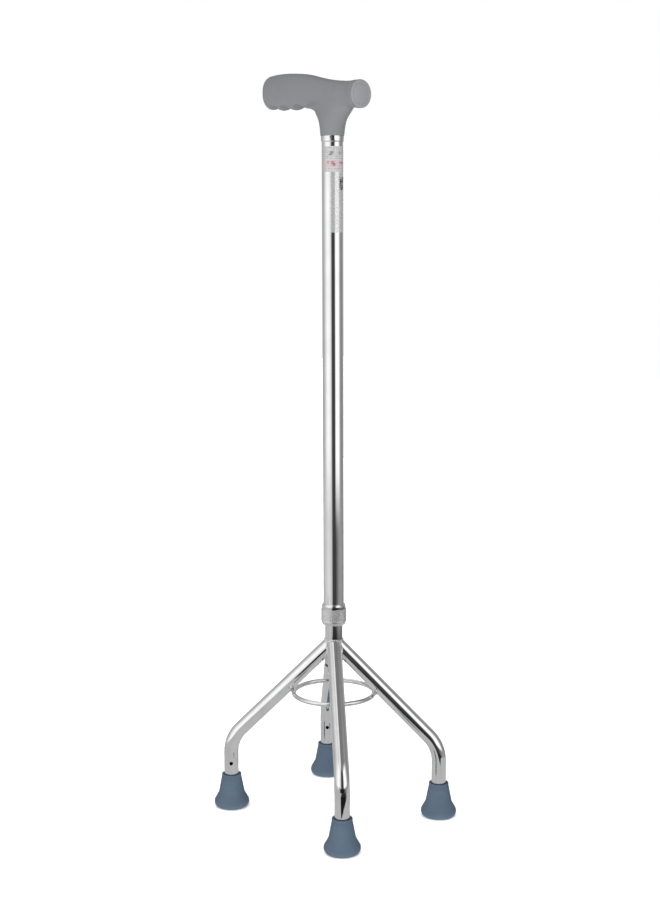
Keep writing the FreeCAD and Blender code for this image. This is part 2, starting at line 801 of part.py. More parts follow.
def build_sticker(label, bottom, top, arc, start):
    """A thin sheet wrapped part of the way round the upper tube."""
    body = turned(label, [
        ("upperTubeRadius", bottom),
        ("upperTubeRadius + labelThick", bottom),
        ("upperTubeRadius + labelThick", top),
        ("upperTubeRadius", top),
    ], arc)
    body.Placement = FreeCAD.Placement(FreeCAD.Vector(0, 0, 0),
                                       FreeCAD.Rotation(Z_AXIS, number(start)))
    return keep(body, label)


build_base()
build_lower_tube()
build_tube_ends()
build_snap_spring()
build_snap_button()
build_upper_tube()
build_threaded_sleeve()
build_collet()
build_lock_nut()
build_handle_grip()
build_handle_nose_cap()
build_neck_fittings()
build_sticker("info_label", "labelBottom", "labelTop", "labelArc", "labelStart")
build_sticker("clear_film", "filmBottom", "labelBottom", "filmArc", "filmStart")


# ---------------------------------------------------------------- check and write
def check_document():
    doc.recompute()
    for thing in doc.Objects:
        if "Invalid" in thing.State or "Error" in thing.State:
            raise RuntimeError(f"{thing.Name} failed: {thing.State}")
    for part in sub_parts:
        if part.Shape.isNull() or not part.Shape.isValid() or not part.Shape.Solids:
            raise RuntimeError(f"{part.Label} has no valid solid")


def write_parts():
    os.makedirs("parts", exist_ok=True)
    for part in sub_parts:
        part.Shape.exportStep(os.path.join("parts", part.Label + ".step"))
        box = part.Shape.BoundBox
        print(f"{part.Label}: {len(part.Shape.Solids)} solid(s), {part.Shape.Volume:.0f} mm3, "
              f"x {box.XMin:.1f}..{box.XMax:.1f}  y {box.YMin:.1f}..{box.YMax:.1f}  "
              f"z {box.ZMin:.1f}..{box.ZMax:.1f}")


check_document()
write_parts()
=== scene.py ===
import math

import bpy
import numpy as np
from mathutils import Matrix, Vector


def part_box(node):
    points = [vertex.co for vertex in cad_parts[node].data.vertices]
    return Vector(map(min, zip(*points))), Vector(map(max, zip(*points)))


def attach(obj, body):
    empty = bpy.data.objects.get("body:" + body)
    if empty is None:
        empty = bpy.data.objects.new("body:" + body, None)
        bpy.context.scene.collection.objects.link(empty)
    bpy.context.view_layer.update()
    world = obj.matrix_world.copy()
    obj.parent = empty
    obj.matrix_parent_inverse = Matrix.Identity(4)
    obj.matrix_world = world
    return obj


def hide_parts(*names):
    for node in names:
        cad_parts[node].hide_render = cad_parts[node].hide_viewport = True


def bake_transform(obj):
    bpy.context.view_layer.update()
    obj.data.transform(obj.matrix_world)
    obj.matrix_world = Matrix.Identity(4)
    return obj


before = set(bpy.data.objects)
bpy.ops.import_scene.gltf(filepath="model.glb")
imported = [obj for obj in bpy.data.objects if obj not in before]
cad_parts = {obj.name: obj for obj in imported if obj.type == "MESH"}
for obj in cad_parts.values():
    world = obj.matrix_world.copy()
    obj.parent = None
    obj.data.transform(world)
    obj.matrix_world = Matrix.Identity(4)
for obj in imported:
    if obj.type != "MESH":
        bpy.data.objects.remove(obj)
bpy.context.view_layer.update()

# A quad walking cane: four bent chrome legs welded under a lower tube, an upper tube that
# slides on it, a knurled clamp between them and a moulded grip on top. Lengths are in
# metres: +X points to the handle's nose, +Z points up and the floor is Z = 0.

scene = bpy.context.scene
MM = 0.001
FULL_TURN = 2 * math.pi
QUARTER_TURN = math.pi / 2
ON_AXIS = 1e-7      # a radius below this is a point on the axis


def heading(turns):
    """Level unit vectors, turned from +X toward +Y."""
    return np.stack([np.cos(turns), np.sin(turns), np.zeros_like(turns)], -1)


# ---------------- shells of vertices and faces
class Shell:
    """Vertices and faces being gathered for one mesh, with exact normals where known."""

    def __init__(self):
        self.points = []
        self.normals = []
        self.faces = []
        self.exact = []

    def add_points(self, points, normals=None):
        first = len(self.points)
        points = np.asarray(points, float).reshape(-1, 3)
        self.points.extend(points.tolist())
        known = np.zeros_like(points) if normals is None else normals
        self.normals.extend(np.reshape(known, (-1, 3)).tolist())
        return first

    def add_face(self, face, exact=False):
        self.faces.append(tuple(int(i) for i in face))
        self.exact.append(exact)

    def add_grid(self, points, closed_rows=False, closed_columns=True):
        """Quads over a grid of points shaped (rows, columns, 3)."""
        rows, columns = points.shape[:2]
        first = self.add_points(points)
        for i in range(rows if closed_rows else rows - 1):
            below, above = first + i * columns, first + (i + 1) % rows * columns
            for j in range(columns if closed_columns else columns - 1):
                k = (j + 1) % columns
                self.add_face((below + j, below + k, above + k, above + j))
        return first

    def add_shell(self, other, matrix=None):
        points = np.asarray(other.points, float)
        if matrix is not None:
            m = np.array(matrix)
            points = points @ m[:3, :3].T + m[:3, 3]
        first = self.add_points(points)
        for face in other.faces:
            self.add_face([first + i for i in face])


def closed_loft(sections):
    """A closed solid through rings of points, its ends filled."""
    shell = Shell()
    grid = np.array(sections)
    rows, columns = grid.shape[:2]
    first = shell.add_grid(grid)
    last = first + (rows - 1) * columns
    shell.add_face(range(first + columns - 1, first - 1, -1))
    shell.add_face(range(last, last + columns))
    return shell


def moved(shell, place, spin, axis):
    """A shell turned about an axis and then taken to a place."""
    made = Shell()
    made.add_shell(shell, Matrix.Translation(place) @ Matrix.Rotation(spin, 4, axis))
    return made


def new_mesh(name, points, faces):
    mesh = bpy.data.meshes.new(name)
    mesh.from_pydata(points, [], faces)
    mesh.update()
    return mesh


def add_object(name, data):
    made = bpy.data.objects.new(name, data)
    scene.collection.objects.link(made)
    return made


def shade(mesh, sharp):
    """Smooth shading, save where faces meet at more than an angle in degrees."""
    mesh.shade_smooth()
    mesh.set_sharp_from_angle(angle=math.radians(sharp))


def place_piece(node_name, mesh, body, slot, material):
    """A visual piece in place of a CAD node; it takes the node's name, capitalised."""
    piece = add_object(node_name.capitalize(), mesh)
    mesh.name = piece.name
    mesh.materials.append(material)
    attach(piece, body)
    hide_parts(node_name)
    return piece


def make_piece(node_name, shell, body, slot, material, sharp=32.0):
    """A visual piece from a shell, shaded with the shell's exact normals where it has them."""
    used = sorted({i for face in shell.faces for i in face})
    place = {old: new for new, old in enumerate(used)}
    faces = [[place[i] for i in face] for face in shell.faces]
    mesh = new_mesh(node_name, [shell.points[i] for i in used], faces)
    shade(mesh, sharp)
    if any(shell.exact):
        corners = np.zeros(len(mesh.loops) * 3)
        mesh.corner_normals.foreach_get("vector", corners)
        corners = corners.reshape(-1, 3)
        known = [(i, exact) for face, exact in zip(shell.faces, shell.exact) for i in face]
        for corner, (i, exact) in enumerate(known):
            if exact:
                corners[corner] = shell.normals[i]
        mesh.normals_split_custom_set(corners.tolist())
    return place_piece(node_name, mesh, body, slot, material)


def rounded(outline, steps):
    """An outline of (radius, height[, fillet]) corners with its fillets drawn as arcs."""
    drawn = []
    for i, corner in enumerate(outline):
        here = np.array(corner[:2], float)
        if len(corner) < 3 or i in (0, len(outline) - 1):
            drawn.append(tuple(here))
            continue
        before = np.array(outline[i - 1][:2], float) - here
        after = np.array(outline[i + 1][:2], float) - here
        back, ahead = np.linalg.norm(before), np.linalg.norm(after)
        before, after = before / back, after / ahead
        half = math.acos(np.clip(before @ after, -1, 1)) / 2
        reach = min(corner[2] / math.tan(half), 0.49 * back, 0.49 * ahead)
        radius = reach * math.tan(half)
        centre = here + (before + after) / np.linalg.norm(before + after) * radius / math.sin(half)
        first = here + before * reach - centre
        last = here + after * reach - centre
        start = math.atan2(first[1], first[0])
        sweep = (math.atan2(last[1], last[0]) - start + math.pi) % FULL_TURN - math.pi
        for angle in start + sweep * np.linspace(0, 1, steps + 1):
            drawn.append(tuple(centre + radius * heading(angle)[:2]))
    return drawn


def lathe(outline, segments, relief=None):
    """An outline of (radius, height) turned round Z, anticlockwise outlines facing out.

    An outline whose ends both lie on the axis stays open; any other closes on itself."""
    shell = Shell()
    turns = np.linspace(0, FULL_TURN, segments, endpoint=False)
    closed = outline[0][0] > ON_AXIS or outline[-1][0] > ON_AXIS
    rings = []
    for radius, height in outline:
        if radius < ON_AXIS:
            rings.append([shell.add_points([(0, 0, height)])] * segments)
            continue
        radii = np.full(segments, radius)
        if relief is not None:
            radii = radii + relief(turns, radius, height)
        first = shell.add_points(heading(turns) * radii[:, None] + [0, 0, height])
        rings.append(range(first, first + segments))
    for low, high in zip(rings, rings[1:] + (rings[:1] if closed else [])):
        for j in range(segments):
            k = (j + 1) % segments
            face = tuple(dict.fromkeys((low[j], low[k], high[k], high[j])))
            if len(face) > 2:
                shell.add_face(face)
    return shell


def turned(outline, segments, steps=6, relief=None):
    """A shell turned from (radius, height[, fillet]) corners in millimetres."""
    outline = [[c * MM for c in corner] for corner in outline]
    return lathe(rounded(outline, steps), segments, relief)


def stations(start, stop, step, bands):
    """Positions from start to stop, at most step apart, with each (low, high, count) band
    divided evenly. Also the index at which each band begins."""
    places, begins = [start], []
    for low, high, count in (*bands, (stop, stop, 0)):
        gap = max(1, math.ceil((low - places[-1]) / step))
        places += list(np.linspace(places[-1], low, gap + 1)[1:])
        begins.append(len(places) - 1)
        places += list(np.linspace(low, high, count + 1)[1:])
    return np.array(places), begins


HOLE_SIDES = 8      # faces along each side of the square patch round a drilled hole


def pipe_shell(outer, inner, normals, holes):
    """A tube wall between two grids (rows, columns, 3), with drilled holes.

    A hole is (first row, first column, place); place(along, across, level) gives a point
    and normal on one of the hole's edges."""
    rows, columns = outer.shape[:2]
    shell = Shell()
    out = shell.add_points(outer, normals)
    into = shell.add_points(inner, -normals)
    gone = {(r + i, (c + j) % columns) for r, c, _ in holes
            for i in range(HOLE_SIDES) for j in range(HOLE_SIDES)}
    for i in range(rows - 1):
        for j in range(columns):
            if (i, j) in gone:
                continue
            k = (j + 1) % columns
            quad = (i * columns + j, i * columns + k, (i + 1) * columns + k,
                    (i + 1) * columns + j)
            shell.add_face([out + q for q in quad], True)
            shell.add_face([into + q for q in quad[::-1]], True)
    last = (rows - 1) * columns
    for j in range(columns):
        k = (j + 1) % columns
        shell.add_face((out + j, into + j, into + k, out + k))
        shell.add_face((out + last + k, into + last + k, into + last + j, out + last + j))
    for r, c, place in holes:
        n = HOLE_SIDES
        walk = [(0, j) for j in range(n)] + [(i, n) for i in range(n)]
        walk += [(n - i, n - j) for i, j in walk]
        edge = [(r + i) * columns + (c + j) % columns for i, j in walk]
        loops = [[out + e for e in edge]]
        for level in ("rim", "wall", "bottom"):
            ring = [place(i / n * 2 - 1, j / n * 2 - 1, level) for i, j in walk]
            first = shell.add_points([p for p, _ in ring], [q for _, q in ring])
            loops.append([first + m for m in range(len(ring))])
        loops.append([into + e for e in edge])
        for depth, (a, b) in enumerate(zip(loops, loops[1:])):
            for m in range(len(a)):
                w = (m + 1) % len(a)
                shell.add_face((a[m], a[w], b[w], b[m]), depth in (0, 3))
    return shell


def drilled_grid(low, high, radius, facing, hole_heights, patch, row_step, turn_step):
    """Heights and headings for a tube wall's grid, with a square patch round each hole.

    Also the first row of each patch, and the column that they all begin in."""
    heights, rows = stations(low, high, row_step,
                             [(h - patch, h + patch, HOLE_SIDES) for h in hole_heights])
    start = facing - math.pi
    width = math.asin(patch / radius)
    turns, columns = stations(start, start + FULL_TURN, turn_step,
                              [(facing - width, facing + width, HOLE_SIDES)])
    return heights, heading(turns[:-1]), rows, columns[0]


def hole_edges(centre, facing, radius, wall, hole_radius, chamfer):
    """Gives points and normals on a hole bored into a tube, level with a centre on its axis."""
    depths = {"rim": radius, "wall": radius - chamfer, "bottom": radius - wall}

    def place(along, across, level):
        angle = math.atan2(along, across)
        rim = hole_radius + (chamfer if level == "rim" else 0.0)
        way = heading(facing + math.asin(rim * math.cos(angle) / depths[level]))
        point = centre + way * depths[level] + [0, 0, rim * math.sin(angle)]
        return point, way if level != "bottom" else -way
    return place


# ---------------- materials
def new_material(name, roughness, metallic=0.0):
    material = bpy.data.materials.new(name)
    material.use_nodes = True
    tree = material.node_tree
    shader = tree.nodes["Principled BSDF"]
    shader.inputs["Roughness"].default_value = roughness
    shader.inputs["Metallic"].default_value = metallic
    return material, tree, shader


def wire(tree, source, target):
    """Gives a socket what comes from another, or a number, vector or colour of its own."""
    if isinstance(source, bpy.types.NodeSocket):
        tree.links.new(source, target)
    else:
        target.default_value = (*source, 1.0) if target.type == "RGBA" else source


def node(tree, kind, inputs=None, **settings):
    made = tree.nodes.new(kind)
    for key, value in settings.items():
        setattr(made, key, value)
    for key, value in (inputs or {}).items():
        wire(tree, value, made.inputs[key])
    return made


def place_output(tree):
    return node(tree, "ShaderNodeTexCoord").outputs["Object"]


def noise(tree, scale, detail=3.0, stretch=(1, 1, 1)):
    """Noise over object space; scale is features per metre."""
    mapping = node(tree, "ShaderNodeMapping", {"Scale": stretch, "Vector": place_output(tree)})
    texture = node(tree, "ShaderNodeTexNoise",
                   {"Scale": scale, "Detail": detail, "Vector": mapping.outputs["Vector"]})
    return texture.outputs["Fac"]


def ramp(tree, source, stops):
    made = node(tree, "ShaderNodeValToRGB", {"Fac": source})
    elements = made.color_ramp.elements
    while len(elements) < len(stops):
        elements.new(0.5)
    for element, (position, colour) in zip(elements, stops):
        element.position = position
        element.color = (*(colour if isinstance(colour, tuple) else [colour] * 3), 1.0)
    return made.outputs["Color"]


def clouded(tree, source, low, high):
    """Noise blended from one tone in its hollows to another on its heights."""
    return ramp(tree, source, [(0.3, low), (0.7, high)])


def map_range(tree, value, low, high, to_low=0.0, to_high=1.0, way="LINEAR"):
    """A value's run from low to high taken to another run and held at its ends."""
    made = node(tree, "ShaderNodeMapRange", {"Value": value, "From Min": low, "From Max": high,
                                             "To Min": to_low, "To Max": to_high},
                interpolation_type=way)
    return made.outputs["Result"]


def spread(tree, source, low, high):
    """Noise, which mostly lies between a quarter and three quarters, taken to low to high."""
    return map_range(tree, source, 0.25, 0.75, low, high)


def maths(tree, operation, *values):
    made = node(tree, "ShaderNodeMath", operation=operation)
    for value, socket in zip(values, made.inputs):
        wire(tree, value, socket)
    return made.outputs[0]


def times(tree, first, *others):
    for other in others:
        first = maths(tree, "MULTIPLY", first, other)
    return first


def mix(tree, amount, first, second, blend="MIX"):
    """Mixes two colours, each a socket or a tuple."""
    made = node(tree, "ShaderNodeMix", data_type="RGBA", blend_type=blend)
    colours = [s for s in made.inputs if s.type == "RGBA"]
    for value, socket in zip((amount, first, second), (made.inputs[0], *colours)):
        wire(tree, value, socket)
    return [s for s in made.outputs if s.type == "RGBA"][0]


def bump(tree, shader, height, strength, distance):
    made = node(tree, "ShaderNodeBump",
                {"Strength": strength, "Distance": distance, "Height": height})
    wire(tree, made.outputs["Normal"], shader.inputs["Normal"])


def chrome_material(name, tones, roughness, scratch=0.02, edge=None):
    """Bright nickel-chrome plate: nearly a mirror, with faint handling haze and hairlines."""
    material, tree, shader = new_material(name, roughness, 1.0)
    cloud = noise(tree, 60.0, 4.0)
    colour = clouded(tree, cloud, *tones)
    if edge is not None:
        facing = node(tree, "ShaderNodeLayerWeight", {"Blend": 0.35}).outputs["Facing"]
        colour = mix(tree, facing, colour, (edge, edge, edge))
    wire(tree, colour, shader.inputs["Base Color"])
    hairs = noise(tree, 900.0, 2.0, (1.0, 1.0, 0.05))
    haze = map_range(tree, times(tree, hairs, cloud), 0.1, 0.45, roughness * 0.7, roughness * 1.5)
    wire(tree, haze, shader.inputs["Roughness"])
    bump(tree, shader, hairs, scratch, 0.02 * MM)
    return material


def plastic_material(name, dark, light, roughness, grain_scale, grain, edge=None, sheen=0.5):
    """Moulded plastic or rubber: fine spark grain, faint clouding, edges rubbed a little."""
    material, tree, shader = new_material(name, roughness)
    shader.inputs["Specular IOR Level"].default_value = sheen
    cloud = noise(tree, 45.0, 5.0)
    speck = noise(tree, grain_scale * 0.7, 2.0)
    specks = ramp(tree, speck, [(0.35, 0.93), (0.65, 1.0)])
    colour = mix(tree, 1.0, clouded(tree, cloud, dark, light), specks, "MULTIPLY")
    if edge is not None:
        pointed = node(tree, "ShaderNodeNewGeometry").outputs["Pointiness"]
        colour = mix(tree, map_range(tree, pointed, 0.53, 0.62), colour, edge)
    wire(tree, colour, shader.inputs["Base Color"])
    wire(tree, spread(tree, cloud, roughness - 0.05, roughness + 0.06),
         shader.inputs["Roughness"])
    bump(tree, shader, noise(tree, grain_scale, 2.0), grain, 0.1 * MM)
    return material


CHROME = chrome_material("chrome_plate", ((0.80, 0.80, 0.805), (0.86, 0.86, 0.865)), 0.05)
LEG_CHROME = chrome_material("chrome_plate_legs", ((0.79, 0.79, 0.795), (0.87, 0.87, 0.875)), 0.05)
KNURLED = chrome_material("knurled_plate", ((0.70, 0.70, 0.70), (0.80, 0.80, 0.805)), 0.3, 0.1,
                          0.98)
PLATED = chrome_material("plated_steel", ((0.62, 0.62, 0.63), (0.74, 0.74, 0.75)), 0.16)
SPRING = chrome_material("spring_steel", ((0.32, 0.32, 0.34), (0.44, 0.44, 0.46)), 0.3)
GRIP = plastic_material("grip_plastic", (0.242, 0.245, 0.256), (0.257, 0.261, 0.272), 0.48,
                        2600.0, 0.25, (0.30, 0.305, 0.315), 0.15)
CAP = plastic_material("cap_plastic", (0.325, 0.329, 0.341), (0.341, 0.345, 0.358), 0.44,
                       2600.0, 0.25)
RUBBER = plastic_material("foot_rubber", (0.085, 0.126, 0.181), (0.101, 0.147, 0.204), 0.66,
                          1500.0, 0.35, (0.15, 0.20, 0.25))
BLACK = plastic_material("black_plastic", (0.018, 0.018, 0.019), (0.028, 0.028, 0.030), 0.45,
                         1800.0, 0.3)
NYLON = plastic_material("nylon", (0.70, 0.68, 0.62), (0.76, 0.74, 0.69), 0.5, 1800.0, 0.2)


# ---------------- upper and lower tubes
LOWER_RADIUS = 9.525 * MM
UPPER_RADIUS = 11.1 * MM
LOWER_WALL = 1.2 * MM
UPPER_WALL = 1.3 * MM
BUTTON_HEIGHT = 415 * MM
HOLE_RADIUS = 4.15 * MM
HOLE_CHAMFER = 0.25 * MM
HOLE_PATCH = 1.25 * HOLE_RADIUS
HOLE_PITCH = 25 * MM
HOLE_COUNT = 7
REARWARD = math.pi


def node_levels(name):
    """The lowest and highest level of a CAD node."""
    low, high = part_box(name)
    return low[2], high[2]


def straight_tube(low, high, radius, wall, hole_heights):
    """An upright tube with a row of round holes at its rear."""
    heights, ways, rows, column = drilled_grid(low, high, radius, REARWARD, hole_heights,
                                               HOLE_PATCH, 20 * MM, math.radians(3.75))
    normals = np.tile(ways, (len(heights), 1, 1))
    up = heights[:, None, None] * [0, 0, 1]
    holes = [(row, column, hole_edges(np.array([0, 0, height]), REARWARD, radius, wall,
                                      HOLE_RADIUS, HOLE_CHAMFER))
             for row, height in zip(rows, hole_heights)]
    return pipe_shell(normals * radius + up, normals * (radius - wall) + up, normals, holes)


for tube, body, radius, wall, count in (("upper_tube", "shaft", UPPER_RADIUS, UPPER_WALL, HOLE_COUNT),
                                        ("lower_tube", "base", LOWER_RADIUS, LOWER_WALL, 1)):
    heights = [BUTTON_HEIGHT - HOLE_PITCH * k for k in reversed(range(count))]
    make_piece(tube, straight_tube(*node_levels(tube), radius, wall, heights), body,
               "chrome_tube", CHROME)

# ---------------- legs
LEG_RADIUS = 8.0 * MM
LEG_WALL = 1.2 * MM
LEG_BEND = 39.0 * MM
LEG_CORNER = 77.5 * MM
LEG_BOTTOM = 10.5 * MM
LEG_SLANT = math.radians(45)
BEND_STEPS = 28
SLANT_STEPS = 24
VENT_RADIUS = 2.0 * MM
VENT_CHAMFER = 0.2 * MM
VENT_PATCH = 1.5 * VENT_RADIUS
FOOT_X = 89.0 * MM
FOOT_Y = 72.8 * MM
BEAD_RADIUS = 1.15 * MM
BEAD_POINTS = 220
BEAD_RIPPLES = 46
CORNERS = {
    # name: sign of X, sign of Y, way the vent hole faces, its height
    "front_left": (1, 1, math.radians(219), 54 * MM),
    "front_right": (1, -1, math.radians(141), 54 * MM),
    "rear_left": (-1, 1, math.radians(-42), 57 * MM),
    "rear_right": (-1, -1, math.radians(-41), 50 * MM),
}


def weld_bead(curve, seed):
    """A rippled bead along a closed curve of points."""
    lengths = np.linalg.norm(np.roll(curve, -1, 0) - curve, axis=1)
    total = lengths.sum()
    walked = np.concatenate([[0], np.cumsum(lengths)])
    closed = np.vstack([curve, curve[:1]])
    marks = np.linspace(0, total, BEAD_POINTS, endpoint=False)
    line = np.stack([np.interp(marks, walked, closed[:, a]) for a in range(3)], 1)
    for _ in range(3):
        line = (np.roll(line, 1, 0) + 2 * line + np.roll(line, -1, 0)) / 4
    ahead = np.roll(line, -1, 0) - np.roll(line, 1, 0)
    ahead /= np.linalg.norm(ahead, axis=1)[:, None]
    side = line - line.mean(0)
    side -= (side * ahead).sum(1)[:, None] * ahead
    side /= np.linalg.norm(side, axis=1)[:, None]
    other = np.cross(ahead, side)
    random = np.random.default_rng(seed)
    wobble = np.tile(random.normal(0, 1, BEAD_POINTS), 3)
    wobble = np.convolve(wobble, np.ones(9) / 9, "same")[BEAD_POINTS:2 * BEAD_POINTS]
    ripples = np.cos(marks / total * FULL_TURN * BEAD_RIPPLES)
    sizes = BEAD_RADIUS * (1 + 0.10 * ripples + 0.16 * wobble)
    turns = np.linspace(0, FULL_TURN, 12, endpoint=False)
    circle = np.stack([np.cos(turns), np.sin(turns)], 1)
    points = line[:, None] + sizes[:, None, None] * (circle @ np.stack([side, other], 1))
    shell = Shell()
    shell.add_grid(points, closed_rows=True)
    return shell


def cope_length(point, along):
    """How far a slanted line runs before it meets the lower tube or the next leg's mitre."""
    reach = [-point[axis] / along[axis] for axis in (0, 1) if along[axis]]
    a = along[0] ** 2 + along[1] ** 2
    b = 2 * (point[0] * along[0] + point[1] * along[1])
    c = point[0] ** 2 + point[1] ** 2 - LOWER_RADIUS ** 2
    inside = b * b - 4 * a * c
    if inside > 0:
        reach.append((-b - math.sqrt(inside)) / (2 * a))
    return min(distance for distance in reach if distance > 0)


def build_leg(corner, bead_seed):
    sign_x, sign_y, vent_way, vent_height = CORNERS[corner]
    foot = np.array([sign_x * FOOT_X, sign_y * FOOT_Y, 0.0])
    away = foot / np.linalg.norm(foot)
    bend_axis = np.cross([0, 0, 1], -away)
    straight_end = LEG_CORNER - LEG_BEND * math.tan(LEG_SLANT / 2)
    heights, ways, rows, column = drilled_grid(LEG_BOTTOM, straight_end, LEG_RADIUS, vent_way,
                                               [vent_height], VENT_PATCH, 8 * MM,
                                               math.radians(4.5))
    outer, inner, normals = [], [], []

    def add_section(centre, around):
        outer.append(centre + around * LEG_RADIUS)
        inner.append(centre + around * (LEG_RADIUS - LEG_WALL))
        normals.append(around)

    for height in heights:
        add_section(foot + [0, 0, height], ways)
    pivot = foot - away * LEG_BEND + [0, 0, straight_end]
    for k in range(1, BEND_STEPS + 1):
        spin = np.array(Matrix.Rotation(LEG_SLANT * k / BEND_STEPS, 3, Vector(bend_axis)))
        around = ways @ spin.T
        add_section(pivot + spin @ (away * LEG_BEND), around)
    along = spin @ np.array([0, 0, 1.0])
    slants = [(grid, grid[-1], np.array([[cope_length(p, along)] for p in grid[-1]]) * along)
              for grid in (outer, inner)]
    for k in range(1, SLANT_STEPS + 1):
        for grid, base, run in slants:
            grid.append(base + run * k / SLANT_STEPS)
        normals.append(around)
    vent = hole_edges(foot + [0, 0, vent_height], vent_way, LEG_RADIUS, LEG_WALL, VENT_RADIUS,
                      VENT_CHAMFER)
    shell = pipe_shell(np.array(outer), np.array(inner), np.array(normals),
                       [(rows[0], column, vent)])
    shell.add_shell(weld_bead(outer[-1], bead_seed))
    make_piece("leg_" + corner, shell, "base", "chrome_tube", LEG_CHROME)


for index, corner in enumerate(CORNERS):
    build_leg(corner, 3 + index)

# ---------------- brace ring
RING_RADIUS = 43.8 * MM
RING_WIRE = 2.5 * MM
RING_HEIGHT = 134 * MM
RING_WELD_RADIUS = 46.0 * MM
RING_WELD_HEIGHT = RING_HEIGHT + 0.9 * MM
RING_WELD_OFFSET = 2.9 * MM / RING_RADIUS
RING_WELD_SIZES = (1.7 * MM, 2.2 * MM, 1.6 * MM)


def blob(way, seed):
    """A small lumpy ellipsoid of weld metal on the ring, at a bearing round it."""
    random = np.random.default_rng(seed)
    phase = random.uniform(0, FULL_TURN, 4)
    outline = [(math.sin(t), -math.cos(t)) for t in np.linspace(0, math.pi, 17)]

    def lumps(turns, radius, height):
        return radius * (0.07 * np.sin(3 * turns + phase[0] + 4 * height)
                         + 0.05 * np.sin(5 * turns + phase[1] - 6 * height))

    shell = lathe(outline, 28, lumps)
    shell.points = (np.array(shell.points) * RING_WELD_SIZES).tolist()
    centre = heading(way) * RING_WELD_RADIUS + [0, 0, RING_WELD_HEIGHT]
    return moved(shell, centre, way, "Z")


section = [(RING_RADIUS + RING_WIRE * math.cos(s), RING_HEIGHT + RING_WIRE * math.sin(s))
           for s in np.linspace(0, FULL_TURN, 20, endpoint=False)]
ring = lathe(section, 168)
for index, (sign_x, sign_y, _, _) in enumerate(CORNERS.values()):
    way = math.atan2(sign_y * FOOT_Y, sign_x * FOOT_X)
    for side in (-1, 1):
        ring.add_shell(blob(way + side * RING_WELD_OFFSET, 20 + 2 * index + side))
make_piece("brace_ring", ring, "base", "chrome_tube", LEG_CHROME)

# ---------------- rubber feet
FOOT_HEIGHT = 36.7          # millimetres, as are all the sizes of a foot
TREAD_DEPTH = 1.5
WAIST_RADIUS, WAIST_HEIGHT = 14.3, 15.5
CONE_SLOPE = (WAIST_RADIUS - 10.3) / (FOOT_HEIGHT - WAIST_HEIGHT)
FINE_GROOVES = (31.2, 33.3)     # where the two grooves below the foot's collar start


def cone(height):
    """The foot's radius above its waist."""
    return WAIST_RADIUS - (height - WAIST_HEIGHT) * CONE_SLOPE


def foot_outline():
    """Half section of a foot in millimetres, from the sole's centre round to the bore."""
    sole = [(0, 0.35), (3.6, 0.35)]
    for inner, outer in ((4.0, 5.0), (7.5, 10.5)):
        sole += [(inner, 0, 0.25), (outer, 0, 0.25), (outer + 0.2, TREAD_DEPTH, 0.2),
                 (outer + 2.3, TREAD_DEPTH, 0.2)]
    skirt = [(13.0, 0, 0.25), (16.9, 0, 0.7), (18.35, 1.55, 1.2), (19.25, 3.6, 2.5),
             (19.25, 6.5, 4.5), (WAIST_RADIUS, WAIST_HEIGHT, 12.0)]
    neck = []
    for low in FINE_GROOVES:
        neck += [(cone(low), low, 0.15), (cone(low) - 0.32, low + 0.25, 0.12),
                 (cone(low) - 0.32, low + 0.65, 0.12), (cone(low + 0.9), low + 0.9, 0.15)]
    collar = [(cone(35.0), 35.0, 0.2), (cone(35.0) + 0.35, 35.3, 0.25),
              (cone(FOOT_HEIGHT) + 0.35, FOOT_HEIGHT, 0.5), (8.9, FOOT_HEIGHT, 0.35),
              (8.0, 35.4, 0.3), (8.0, 9.0), (0, 9.0)]
    return sole + skirt + neck + collar


rubber_foot = turned(foot_outline(), 112, 7)
for corner, (sign_x, sign_y, _, _) in CORNERS.items():
    place = (sign_x * FOOT_X, sign_y * FOOT_Y, 0)
    make_piece("foot_" + corner, moved(rubber_foot, place, math.atan2(place[1], place[0]), "Z"),
               "base", "foot_rubber", RUBBER)

# ---------------- threaded sleeve and lock nut
THREAD_PITCH = 1.5 * MM
THREAD_LOW, THREAD_HIGH = 219.3 * MM, 229.2 * MM


def thread(turns, radius, height):
    """Depth of a helical groove of 60 degree flanks, on the threaded part only."""
    if not (THREAD_LOW < height < THREAD_HIGH and 12.0 * MM < radius < 12.5 * MM):
        return np.zeros_like(turns)
    phase = (height / THREAD_PITCH - turns / FULL_TURN) % 1.0
    depth = np.clip(np.abs(phase - 0.5) * 2, 0.12, 0.88)
    fade = min(1.0, (height - THREAD_LOW) / (0.8 * MM), (THREAD_HIGH - height) / (0.5 * MM))
    return -0.62 * MM * depth * fade


sleeve = [(11.4, 219.0), (12.3, 219.0, 0.1)]
sleeve += [(12.3, h) for h in np.arange(219.3, 228.95, 0.125)]
sleeve += [(12.3, 229.0, 0.1), (12.85, 229.0, 0.15), (12.9, 231.9, 0.25), (12.3, 233.0, 0.3),
           (11.55, 234.2, 0.25), (11.12, 234.2, 0.1), (11.1, 234.0), (11.1, 228.05),
           (9.85, 228.05), (9.85, 224.5)]
make_piece("threaded_sleeve", turned(sleeve, 128, relief=thread), "shaft", "plated_steel",
           CHROME)

KNURL_LOW, KNURL_HIGH = 215.3 * MM, 229.8 * MM
KNURL_TURNS = 80
KNURL_DEPTH = 0.27 * MM
NUT_RADIUS = 13.6 * MM


def knurl(turns, radius, height):
    """Diamond knurl: two opposed sets of shallow V grooves."""
    if not (KNURL_LOW <= height <= KNURL_HIGH and radius > 13.3 * MM):
        return np.zeros_like(turns)
    along = height / (FULL_TURN * NUT_RADIUS / KNURL_TURNS)
    grooves = [np.abs((turns / FULL_TURN * KNURL_TURNS + way * along) % 1.0 - 0.5) * 2
               for way in (1, -1)]
    fade = min(1.0, (height - KNURL_LOW) / (0.4 * MM), (KNURL_HIGH - height) / (0.4 * MM))
    return -KNURL_DEPTH * np.maximum(*grooves) * fade


